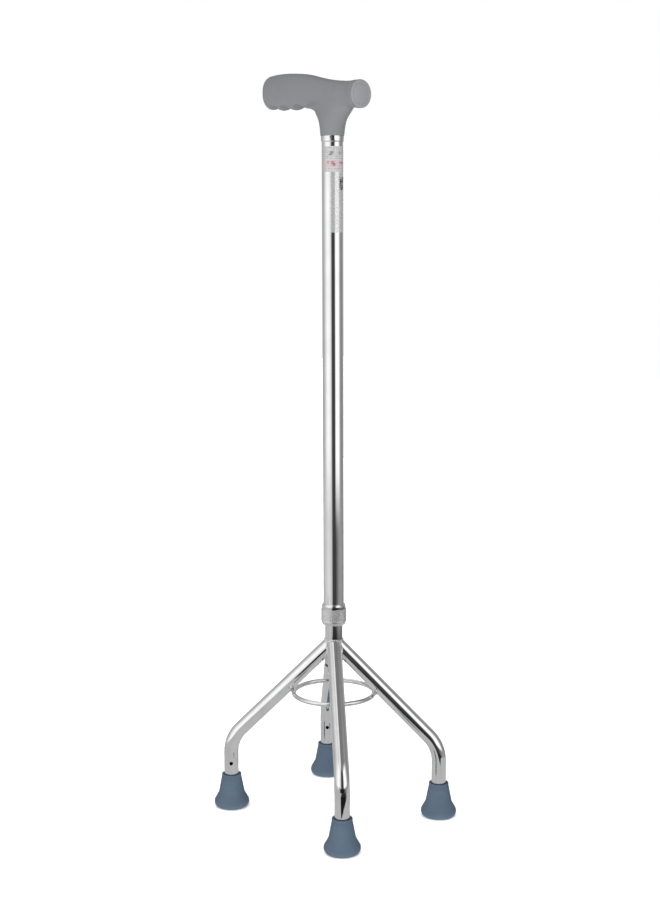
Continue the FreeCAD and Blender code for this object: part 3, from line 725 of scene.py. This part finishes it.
nut = [(9.9, 211.0, 0.2), (12.2, 211.0, 0.6), (13.2, 214.0, 0.5), (13.6, 214.5, 0.2)]
nut += [(13.6, h) for h in np.linspace(214.9, 228.1, 80)]
nut += [(13.6, 228.3, 0.1), (13.3, 228.6, 0.15), (12.45, 228.6, 0.1), (12.45, 214.5),
        (9.9, 214.4)]
make_piece("lock_nut", turned(nut, 640, 4, knurl), "lock_nut", "knurled_metal", KNURLED,
           sharp=50.0)

# ---------------- snap button and its spring
button = [(0, 5.6), (5.0, 5.6, 0.15), (5.0, 6.5, 0.15), (3.9, 6.5, 0.1), (3.9, 13.1, 1.5),
          (0.6, 13.1), (0, 13.1)]
shell = moved(turned(button, 64, 10), (0, 0, BUTTON_HEIGHT), -QUARTER_TURN, "Y")
make_piece("snap_button", shell, "snap_button", "plated_steel", PLATED)

LEAF_HALF_THICK = 0.29 * MM
LEAF_HALF_WIDTH = 3.4 * MM
LEAF_EDGES = ((1, 1), (1, -1), (-1, -1), (-1, 1))
leaf = [(-5.25, 424.0), (-5.25, 404.0), (-3.35, 374.0), (-2.1, 371.25), (0.0, 370.5),
        (2.45, 371.25), (3.95, 374.0), (6.9, 424.0)]
leaf = np.array(rounded([(*p, 2.0) for p in leaf], 4)) * MM
ahead = np.gradient(leaf, axis=0)
ahead /= np.linalg.norm(ahead, axis=1)[:, None]
ahead *= LEAF_HALF_THICK
sections = [[(x - dz * side, LEAF_HALF_WIDTH * end, z + dx * side) for side, end in LEAF_EDGES]
            for (x, z), (dx, dz) in zip(leaf, ahead)]
shell = closed_loft(sections)
spring = add_object("Snap_spring", new_mesh("Snap_spring", shell.points, shell.faces))
spring.data.materials.append(SPRING)
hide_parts("snap_spring")
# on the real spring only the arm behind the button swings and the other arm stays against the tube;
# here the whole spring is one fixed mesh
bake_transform(spring)

# ---------------- ferrule under the grip
ferrule = [(11.12, 723.6, 0.1), (11.42, 723.6, 0.15), (11.78, 724.4, 0.25), (11.98, 729.2, 0.3),
           (12.0, 729.7, 0.1), (11.6, 729.7), (11.12, 727.5)]
make_piece("neck_ferrule", turned(ferrule, 96), "shaft", "plated_steel", CHROME)

# ---------------- grip
PALM_START, PALM_END = -100, 39.5
NECK_BOTTOM, NECK_TOP = 729.7, 769
NOSE_AXIS = 770             # height of the nose cap's axis
SCREW_HEIGHT = 742
PALM = [  # millimetres: place along X, top, underside, half width
    (-100, 794.6, 761.4, 12.8), (-88, 796.3, 759.8, 14.0), (-72, 797.0, 758.8, 14.6),
    (-52, 796.0, 758.5, 14.6), (-34, 793.9, 759.2, 14.2), (-16, 789.8, 758.8, 13.6),
    (0, 786.6, 757.2, 13.1), (16, 784.6, 757.0, 12.8), (29, 783.8, 756.9, 12.65),
    (35.5, 784.1, 756.4, 13.4), (39.5, 784.4, 755.6, 14.2),
]
NECK = [  # millimetres: height, centre along X, half length, half width
    (729.7, 0.0, 12.15, 12.15), (738, 0.1, 13.3, 12.7), (746, 0.5, 16.2, 13.1),
    (752, 1.2, 21.4, 13.3), (756.2, 1.7, 25.6, 13.3), (758.3, -0.2, 29.4, 13.3),
    (760, -3.4, 33.2, 13.2), (764, -2.0, 31.0, 12.6), (769, 2.0, 22.0, 12.0),
]
END_ROUNDING = 8.5
FINGER_GROOVES = (-85.0, -66.0, -45.0)
GROOVE_RADIUS = 9.5
GROOVE_DEPTH = 5.0
GROOVE_LEVEL = 759.0
VOXEL = 0.75 * MM
SMOOTHING_ROUNDS = 7


def flow(table, place):
    """Smooth values between the rows of a table whose first column is the place."""
    rows = np.array(table, float)
    x = rows[:, 0]
    slopes = np.gradient(rows[:, 1:], x, axis=0)
    i = int(np.clip(np.searchsorted(x, place) - 1, 0, len(x) - 2))
    step = x[i + 1] - x[i]
    t = (place - x[i]) / step
    rise = t * t * (3 - 2 * t)
    return ((1 - rise) * rows[i, 1:] + rise * rows[i + 1, 1:]
            + step * t * (1 - t) * ((1 - t) * slopes[i] - t * slopes[i + 1]))


def oval(half_a, half_b, power=2.25, count=72):
    turns = np.linspace(0, FULL_TURN, count, endpoint=False)
    c, s = np.cos(turns), np.sin(turns)
    return np.stack([half_a * np.sign(c) * np.abs(c) ** (2 / power),
                     half_b * np.sign(s) * np.abs(s) ** (2 / power)], 1)


def loose_object(name, shell):
    """An object in metres from a shell in millimetres."""
    return add_object(name, new_mesh(name, [[c * MM for c in p] for p in shell.points],
                                     shell.faces))


def applied(target):
    """The target's mesh with its modifiers applied."""
    bpy.context.view_layer.update()
    graph = bpy.context.evaluated_depsgraph_get()
    return bpy.data.meshes.new_from_object(target.evaluated_get(graph))


def carve(target, shell, operation="DIFFERENCE"):
    """Cuts a shell in millimetres out of an object, or joins it on."""
    tool = loose_object("cutter", shell)
    modifier = target.modifiers.new("carve", "BOOLEAN")
    modifier.operation = operation
    modifier.solver = "EXACT"
    modifier.object = tool
    old = target.data
    new = applied(target)
    target.modifiers.clear()
    target.data = new
    bpy.data.meshes.remove(old)
    bpy.data.objects.remove(tool)


def palm_sections():
    sections = []
    round_end = PALM_START + END_ROUNDING
    places = list(round_end - END_ROUNDING * np.cos(np.linspace(0, QUARTER_TURN, 12)))
    places += list(np.arange(places[-1] + 1.0, PALM_END, 1.0)) + [PALM_END]
    for x in places:
        top, under, half = flow(PALM, x)
        gap = max(round_end - x, 0.0)
        inset = END_ROUNDING - math.sqrt(max(END_ROUNDING ** 2 - gap ** 2, 0.0))
        middle = (top + under) / 2
        sections.append([(x, y, middle + z)
                         for y, z in oval(half - inset, (top - under) / 2 - inset)])
    return sections


def neck_sections():
    sections = []
    for z in np.linspace(NECK_BOTTOM, NECK_TOP, 48):
        centre, half_x, half_y = flow(NECK, z)
        sections.append([(centre + x, y, z) for x, y in oval(half_x, half_y, 2.1)])
    return sections


grip = loose_object("grip_block", closed_loft(palm_sections()))
carve(grip, closed_loft(neck_sections()), "UNION")
groove_height = GROOVE_LEVEL + GROOVE_DEPTH - GROOVE_RADIUS
cuts = [(GROOVE_RADIUS, -30, 30, 96, (x, 0, groove_height), QUARTER_TURN, "X")
        for x in FINGER_GROOVES]
cuts += [  # the bore for the tube, the screw's counterbore and the nose cap's socket
    (11.2, 720, 766, 48, (0, 0, 0), 0.0, "Z"),
    (3.3, 11.5, 20, 48, (0, 0, SCREW_HEIGHT), -QUARTER_TURN, "Y"),
    (9.1, 31.2, 60, 48, (0, 0, NOSE_AXIS), QUARTER_TURN, "Y"),
]
for radius, low, high, sides, place, spin, axis in cuts:
    cylinder = lathe([(0, low), (radius, low), (radius, high), (0, high)], sides)
    carve(grip, moved(cylinder, place, spin, axis))
remesh = grip.modifiers.new("skin", "REMESH")
remesh.mode = "VOXEL"
remesh.voxel_size = VOXEL
soften = grip.modifiers.new("soften", "SMOOTH")
soften.factor = 0.5
soften.iterations = SMOOTHING_ROUNDS
grip_mesh = applied(grip)
bpy.data.objects.remove(grip)
grip_mesh.shade_smooth()
place_piece("handle_grip", grip_mesh, "shaft", "grip_plastic", GRIP)

# ---------------- nose cap
cap = [(0, 31.5), (8.9, 31.5, 0.5), (8.9, 39.5), (14.2, 39.55, 0.15), (14.3, 40.6, 0.3),
       (14.3, 43.0, 1.1), (11.3, 43.3, 0.3), (10.9, 43.05, 0.2), (10.3, 43.05, 0.2),
       (9.9, 43.4, 0.3), (5.0, 43.85), (0, 44.0)]
shell = moved(turned(cap, 128, 8), (0, 0, NOSE_AXIS * MM), QUARTER_TURN, "Y")
nose = make_piece("handle_nose_cap", shell, "shaft", "cap_plastic", CAP)
nose.data.materials.append(GRIP)
for polygon in nose.data.polygons:
    if polygon.normal.x < 0.6:
        polygon.material_index = 1      # its rim and spigot are moulded in the grip's colour

# ---------------- screw behind the neck
SLOT_HALF_WIDTH, SLOT_HALF_LENGTH, SLOT_DEPTH = 0.42, 2.0, 1.0
HEAD_TOP = 13.3
head = [(0, 2.5), (0.35, 2.5), (1.45, 4.2, 0.3), (1.45, 11.6), (3.1, 11.6, 0.2), (3.1, 12.4, 0.3),
        (2.2, 13.1, 0.6), (0.5, HEAD_TOP), (0, HEAD_TOP)]
screw_place = ((0, 0, SCREW_HEIGHT), -QUARTER_TURN, "Y")
screw = loose_object("screw_block", moved(lathe(rounded(head, 6), 48), *screw_place))
for half_x, half_y in ((SLOT_HALF_LENGTH, SLOT_HALF_WIDTH), (SLOT_HALF_WIDTH, SLOT_HALF_LENGTH)):
    corners = ((-half_x, -half_y), (half_x, -half_y), (half_x, half_y), (-half_x, half_y))
    block = closed_loft([[(x, y, z) for x, y in corners]
                         for z in (HEAD_TOP - SLOT_DEPTH, HEAD_TOP + 1)])
    carve(screw, moved(block, *screw_place))
screw_mesh = screw.data
bpy.data.objects.remove(screw)
shade(screw_mesh, 32)
place_piece("neck_screw", screw_mesh, "shaft", "plated_steel", PLATED)

# ---------------- stickers
SHEET_THICK = 0.12 * MM
SHEET_LIFT = 0.01 * MM          # between the tube and the sheet's underside
SHEET_CORNER = 1.5 * MM
PRINT_RADIUS = 11.2             # millimetres, for distances round the tube


def curved_sheet(low, high, start, arc):
    """A thin sheet with rounded corners lying on the upper tube."""
    width = UPPER_RADIUS * arc
    curve = SHEET_CORNER * (1 - np.cos(np.linspace(0, QUARTER_TURN, 7)))
    across = np.concatenate([curve, np.linspace(SHEET_CORNER, width - SHEET_CORNER, 60)[1:-1],
                             width - curve[::-1]])
    sections = []
    for place in across:
        past = SHEET_CORNER - min(place, width - place, SHEET_CORNER)
        inset = SHEET_CORNER - math.sqrt(max(SHEET_CORNER ** 2 - past ** 2, 0.0))
        way = heading(start + place / UPPER_RADIUS)
        heights = np.linspace(low + inset, high - inset, 9)
        sections.append([way * (UPPER_RADIUS + SHEET_THICK) + [0, 0, h] for h in heights[::-1]]
                        + [way * (UPPER_RADIUS + SHEET_LIFT) + [0, 0, h] for h in heights])
    return closed_loft(sections)


def sheet_place(tree):
    """Millimetres round the tube and millimetres up it, as two sockets."""
    parts = node(tree, "ShaderNodeSeparateXYZ", {"Vector": place_output(tree)}).outputs
    turn = maths(tree, "ARCTAN2", parts["Y"], parts["X"])
    return times(tree, turn, PRINT_RADIUS), times(tree, parts["Z"], 1000)


def between(tree, value, low, high, soft=0.08):
    """1 where a value lies between two limits, else 0, with a soft edge."""
    return times(tree, map_range(tree, value, low - soft, low + soft),
                 map_range(tree, value, high + soft, high - soft))


def dashes(tree, across, up, width, pitch, share, fill, seed):
    """Rows of short dashes of uneven length, standing for small print."""
    line = maths(tree, "DIVIDE", up, pitch)
    tall = between(tree, maths(tree, "FRACT", line), 0.5 - share / 2, 0.5 + share / 2, 0.06)
    row = maths(tree, "FLOOR", line)
    column = maths(tree, "FLOOR", maths(tree, "DIVIDE", across, width))
    cell = node(tree, "ShaderNodeCombineXYZ", {"X": column, "Y": row, "Z": seed})
    white = node(tree, "ShaderNodeTexWhiteNoise", {"Vector": cell.outputs["Vector"]},
                 noise_dimensions="3D")
    return times(tree, tall, maths(tree, "LESS_THAN", white.outputs["Value"], fill))


def label_material():
    """Pale paper with a red band, rows of fine print and a few bolder blocks; outside the printed
    span the paper is painted darker grey as shade on its curved margin.
    """
    material, tree, shader = new_material("label_paper", 0.42)
    across, up = sheet_place(tree)
    cloud = noise(tree, 300.0, 4.0)
    paper = clouded(tree, cloud, (0.52, 0.515, 0.515), (0.58, 0.572, 0.574))
    # painted shade: outside this span, on the label's left margin, the paper is darkened to grey
    # (0.44) to stand for the shade where it curves round the tube
    printed = between(tree, across, -16.8, 30.0, 0.3)
    paper = mix(tree, printed, (0.44, 0.445, 0.45), paper)
    band = times(tree, between(tree, up, 697.4, 704.9), printed)
    colour = mix(tree, band, paper, (0.59, 0.475, 0.508))
    outside_band = maths(tree, "SUBTRACT", 1.0, between(tree, up, 696.6, 705.6))
    small = times(tree, dashes(tree, across, up, 0.6, 2.1, 0.34, 0.42, 3.0), outside_band,
                  between(tree, up, 694.2, 717.6), between(tree, across, -17.0, 16.6, 0.2))
    colour = mix(tree, small, colour, (0.24, 0.24, 0.25))
    for left, right, low, high, fill, ink in (
            (-12.2, -7.4, 709.6, 714.0, 0.75, (0.13, 0.13, 0.135)),
            (-1.3, 0.9, 710.6, 714.0, 0.8, (0.20, 0.20, 0.205)),
            (-10.4, -5.3, 698.9, 703.9, 0.75, (0.26, 0.11, 0.14)),
            (-13.8, -12.4, 701.2, 703.9, 0.9, (0.26, 0.11, 0.14)),
            (-1.2, 4.4, 700.8, 703.2, 0.8, (0.27, 0.17, 0.19))):
        block = times(tree, dashes(tree, across, up, 0.9, 1.3, 0.8, fill, 8.0),
                      between(tree, up, low, high, 0.2), between(tree, across, left, right, 0.2))
        colour = mix(tree, block, colour, ink)
    wire(tree, colour, shader.inputs["Base Color"])
    wire(tree, spread(tree, cloud, 0.38, 0.48), shader.inputs["Roughness"])
    return material


def film_material():
    """Clear printed film, slightly milky, so the chrome shows through it softened."""
    material, tree, shader = new_material("clear_film", 0.3)
    across, up = sheet_place(tree)
    milk = clouded(tree, noise(tree, 160.0, 4.0, (1.0, 1.0, 0.4)), 0.86, 0.94)
    marks = times(tree, dashes(tree, across, up, 1.1, 1.9, 0.86, 0.82, 5.0),
                  between(tree, up, 674.6, 687.8, 0.2), between(tree, across, -0.4, 7.6, 0.2))
    wire(tree, mix(tree, marks, milk, (0.03, 0.03, 0.035)), shader.inputs["Base Color"])
    wire(tree, map_range(tree, marks, 0.0, 1.0, 0.20, 0.95), shader.inputs["Alpha"])
    return material


for sheet, slot, start, arc, material in (
        ("info_label", "label_paper", -103, 200, label_material()),
        ("clear_film", "clear_film", -59, 125, film_material())):
    shell = curved_sheet(*node_levels(sheet), math.radians(start), math.radians(arc))
    make_piece(sheet, shell, "shaft", slot, material, sharp=60.0)

# ---------------- carried-over CAD nodes
CARRIED = {
    "lower_tube_plug": BLACK, "inner_tube_cap": BLACK, "tube_top_plug": BLACK,
    "collet": NYLON, **{"foot_washer_" + c: PLATED for c in CORNERS},
}
for name, material in CARRIED.items():
    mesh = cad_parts[name].data
    mesh.materials.clear()
    mesh.materials.append(material)
    shade(mesh, 30)

# ---------------- floor, light and camera
FLOOR_HALF = 4.0


def hide_from(target, *rays):
    for ray in rays:
        setattr(target, "visible_" + ray, False)


floor_mesh = new_mesh("Floor", [(-FLOOR_HALF, -FLOOR_HALF, 0), (FLOOR_HALF, -FLOOR_HALF, 0),
                                (FLOOR_HALF, FLOOR_HALF, 0), (-FLOOR_HALF, FLOOR_HALF, 0)],
                      [(0, 1, 2, 3)])
floor = add_object("Floor", floor_mesh)
floor.location.z = -0.2 * MM
floor_material, tree, shader = new_material("pale_floor", 0.8)
wire(tree, clouded(tree, noise(tree, 6.0), 0.86, 0.88), shader.inputs["Base Color"])
shader.inputs["Specular IOR Level"].default_value = 0.0
floor_mesh.materials.append(floor_material)
hide_from(floor, "glossy", "diffuse", "shadow")

CAMERA_AZIMUTH = math.radians(-43.3)
toward_camera = Vector((math.cos(CAMERA_AZIMUTH), math.sin(CAMERA_AZIMUTH), 0))
image_right = Vector((-toward_camera.y, toward_camera.x, 0))


def glow_card(name, points, faces, look):
    """A glowing surface that only mirrors see; look builds its colour in a node tree."""
    mesh = new_mesh(name, points, faces)
    card = add_object(name, mesh)
    material = bpy.data.materials.new(name.lower())
    material.use_nodes = True
    tree = material.node_tree
    tree.nodes.clear()
    emission = node(tree, "ShaderNodeEmission", {"Color": look(tree)})
    node(tree, "ShaderNodeOutputMaterial", {"Surface": emission.outputs[0]})
    mesh.materials.append(material)
    hide_from(card, "camera", "diffuse", "shadow", "transmission")


def cloudy(low, high):
    """A look that drifts between two greys."""
    return lambda tree: clouded(tree, noise(tree, 5.0), low, high)


# the white table top that the chrome reflects: metres toward the camera and to its right;
# it ends a little way in front of the feet
TABLE_EDGE = [(0.45, -0.9), (0.45, -0.17), (0.215, -0.02), (0.228, 0.02), (0.235, 0.06),
              (0.218, 0.11), (0.185, 0.15), (0.168, 0.172), (0.190, 0.195), (0.225, 0.22),
              (0.225, 0.42), (-1.2, 0.42), (-1.2, -0.9)]
TABLE_DROP = 0.4 * MM
EDGE_FRONT = 0.45
glow_card("Reflected_table",
          [toward_camera * a + image_right * b - Vector((0, 0, TABLE_DROP))
           for a, b in TABLE_EDGE],
          [tuple(range(len(TABLE_EDGE)))], cloudy(0.50, 0.55))


def upright_card(name, left, right, top, look):
    """A low upright card across the front of the table."""
    ends = [(left, -TABLE_DROP), (right, -TABLE_DROP), (right, top), (left, top)]
    glow_card(name, [toward_camera * EDGE_FRONT + image_right * b + Vector((0, 0, h))
                     for b, h in ends], [(0, 1, 2, 3)], look)


# what lies just past the table, mirrored only in the feet of the legs
upright_card("Dark_edge", -0.17, 0.25, 0.07, cloudy(0.012, 0.02))
upright_card("Pale_edge", -0.42, -0.17, 0.08, cloudy(0.46, 0.52))

# an overhead light that falls on the floor alone keeps it near white, with soft shadows
sun = bpy.data.lights.new("Floor_light", "SUN")
sun.energy = 3.6
sun.angle = math.radians(80)
lit = bpy.data.collections.new("floor_only")
lit.objects.link(floor)
add_object("Floor_light", sun).light_linking.receiver_collection = lit


def soft_light(name, centre, target, size, energy):
    """A wide soft light that mirrors don't see."""
    lamp = bpy.data.lights.new(name, "AREA")
    lamp.shape = "DISK"
    lamp.size = size
    lamp.energy = energy
    light = add_object(name, lamp)
    light.location = centre
    light.rotation_euler = (Vector(target) - Vector(centre)).to_track_quat("-Z", "Y").to_euler()
    hide_from(light, "glossy")


middle = Vector((0, 0, 0.45))
soft_light("Front_fill", middle + toward_camera * 2.5 + Vector((0, 0, 0.1)), middle, 2.0, 42.0)
soft_light("Back_fill", middle - toward_camera * 2.5 - Vector((0, 0, 0.2)), middle, 2.0, 14.0)
soft_light("Under_fill", (0, 0, -1.6), (0, 0, 0), 2.4, 26.0)


def bearing_ramp(tree, bearing, stops):
    """Tones by degrees to the image right of the camera's side."""
    return ramp(tree, bearing, [(degrees / 360 + 0.5, value) for degrees, value in stops])


def bearing_of(tree, direction):
    """Angle round from the camera's side toward the image right, as a ramp position."""
    spin = node(tree, "ShaderNodeVectorRotate", {"Angle": -CAMERA_AZIMUTH, "Vector": direction},
                rotation_type="Z_AXIS")
    parts = node(tree, "ShaderNodeSeparateXYZ", {"Vector": spin.outputs["Vector"]}).outputs
    turn = maths(tree, "ARCTAN2", parts["Y"], parts["X"])
    return maths(tree, "MULTIPLY_ADD", turn, 1 / FULL_TURN, 0.5), parts


def smooth_step(tree, value, low, high):
    """0 under one value, 1 over another, smooth between."""
    return map_range(tree, value, low, high, way="SMOOTHSTEP")


# the studio all round, by degrees to the image right of the camera: bright panels either
# side, the dark gap at the camera and grey flats behind; then the same nearer the table
ABOVE = [(-180, 0.50), (-116, 0.45), (-98, 0.66), (-80, 0.95), (-62, 1.15), (-40, 1.12),
         (-26, 0.92), (-18, 0.60), (-11, 0.12), (-7, 0.055), (19, 0.055), (31, 1.2), (62, 1.25),
         (74, 0.80), (84, 0.36), (107, 0.24), (127, 0.36), (180, 0.50)]
BELOW = [(-180, 0.58), (-123, 0.55), (-87, 0.70), (-59, 0.82), (-35, 0.75), (-19, 0.62),
         (-9, 0.06), (22, 0.05), (30, 0.09), (44, 0.19), (56, 0.28), (84, 0.37), (100, 0.33),
         (118, 0.27), (150, 0.45), (180, 0.58)]

# bearings nearest the table top and lower again
LOW = [(-180, 0.55), (-87, 0.62), (-59, 0.68), (-22, 0.60), (-11, 0.03), (38, 0.025),
       (55, 0.11), (84, 0.18), (105, 0.12), (130, 0.22), (180, 0.55)]
LOWEST = [(-180, 0.50), (-60, 0.55), (-38, 0.50), (-29, 0.012), (50, 0.012), (62, 0.20),
          (110, 0.20), (150, 0.40), (180, 0.50)]


def walls(tree, bearing, level, fades):
    """The studio's walls from the lowest up, each fading into the next between two levels."""
    look = bearing_ramp(tree, bearing, LOWEST)
    for stops, (low, high) in zip((LOW, BELOW, ABOVE), fades):
        look = mix(tree, smooth_step(tree, level, low, high), look,
                   bearing_ramp(tree, bearing, stops))
    return look


# under the right-hand panel stands a skirt, near enough for its top edge to shift with the
# height of the chrome that mirrors it
SKIRT_DISTANCE = 1.6
SKIRT_FROM, SKIRT_TO = math.radians(14), math.radians(100)
SKIRT_FOOT, SKIRT_TOP = -1.4, 0.15
SKIRT_FADES = ((-0.50, -0.40), (-0.26, -0.20), (-0.04, SKIRT_TOP))
columns = [[way * SKIRT_DISTANCE + [0, 0, h] for h in np.linspace(SKIRT_FOOT, SKIRT_TOP, 12)]
           for way in heading(np.linspace(SKIRT_FROM, SKIRT_TO, 60) + CAMERA_AZIMUTH)]
skirt = Shell()
skirt.add_grid(np.array(columns), closed_columns=False)


def skirt_look(tree):
    bearing, parts = bearing_of(tree, place_output(tree))
    return walls(tree, bearing, parts["Z"], SKIRT_FADES)


glow_card("Panel_skirt", skirt.points, skirt.faces, skirt_look)

# the same walls far off all round, by the sine of elevation, under a lit ceiling
STUDIO_FADES = ((-0.345, -0.325), (-0.268, -0.250), (-0.200, -0.145))
world = bpy.data.worlds.new("Studio")
scene.world = world
world.use_nodes = True
tree = world.node_tree
tree.nodes.clear()
bearing, parts = bearing_of(tree, node(tree, "ShaderNodeTexCoord").outputs["Generated"])
rise = parts["Z"]
across_sky = maths(tree, "MULTIPLY_ADD", parts["Y"], 0.5, 0.5)
ceiling = ramp(tree, across_sky, [(0.0, 0.45), (0.15, 0.58), (0.27, 0.75), (0.37, 1.0),
                                  (0.41, 1.05), (0.44, 0.23), (1.0, 0.19)])
look = mix(tree, smooth_step(tree, rise, 0.60, 0.86), walls(tree, bearing, rise, STUDIO_FADES),
           ceiling)
look = mix(tree, smooth_step(tree, rise, -0.56, -0.48), (0.50, 0.50, 0.50), look)
seen = node(tree, "ShaderNodeLightPath").outputs["Is Camera Ray"]
background = node(tree, "ShaderNodeBackground",
                  {"Color": mix(tree, seen, look, (1.0, 1.0, 1.0))})
node(tree, "ShaderNodeOutputWorld", {"Surface": background.outputs[0]})

scene.view_settings.view_transform = "Standard"
scene.view_settings.look = "None"

camera_data = bpy.data.cameras.new("Camera")
camera_data.lens = 61.39
camera_data.sensor_width = 36.0
camera_data.sensor_fit = "AUTO"
camera_data.clip_start = 0.05
camera = add_object("Camera", camera_data)
camera.matrix_world = (Matrix.Translation((1.1768, -1.1090, 0.6478))
                       @ Matrix.Rotation(math.radians(46.8225), 4, "Z")
                       @ Matrix.Rotation(math.radians(81.3367), 4, "X")
                       @ Matrix.Rotation(math.radians(-0.1858), 4, "Z"))
scene.camera = camera
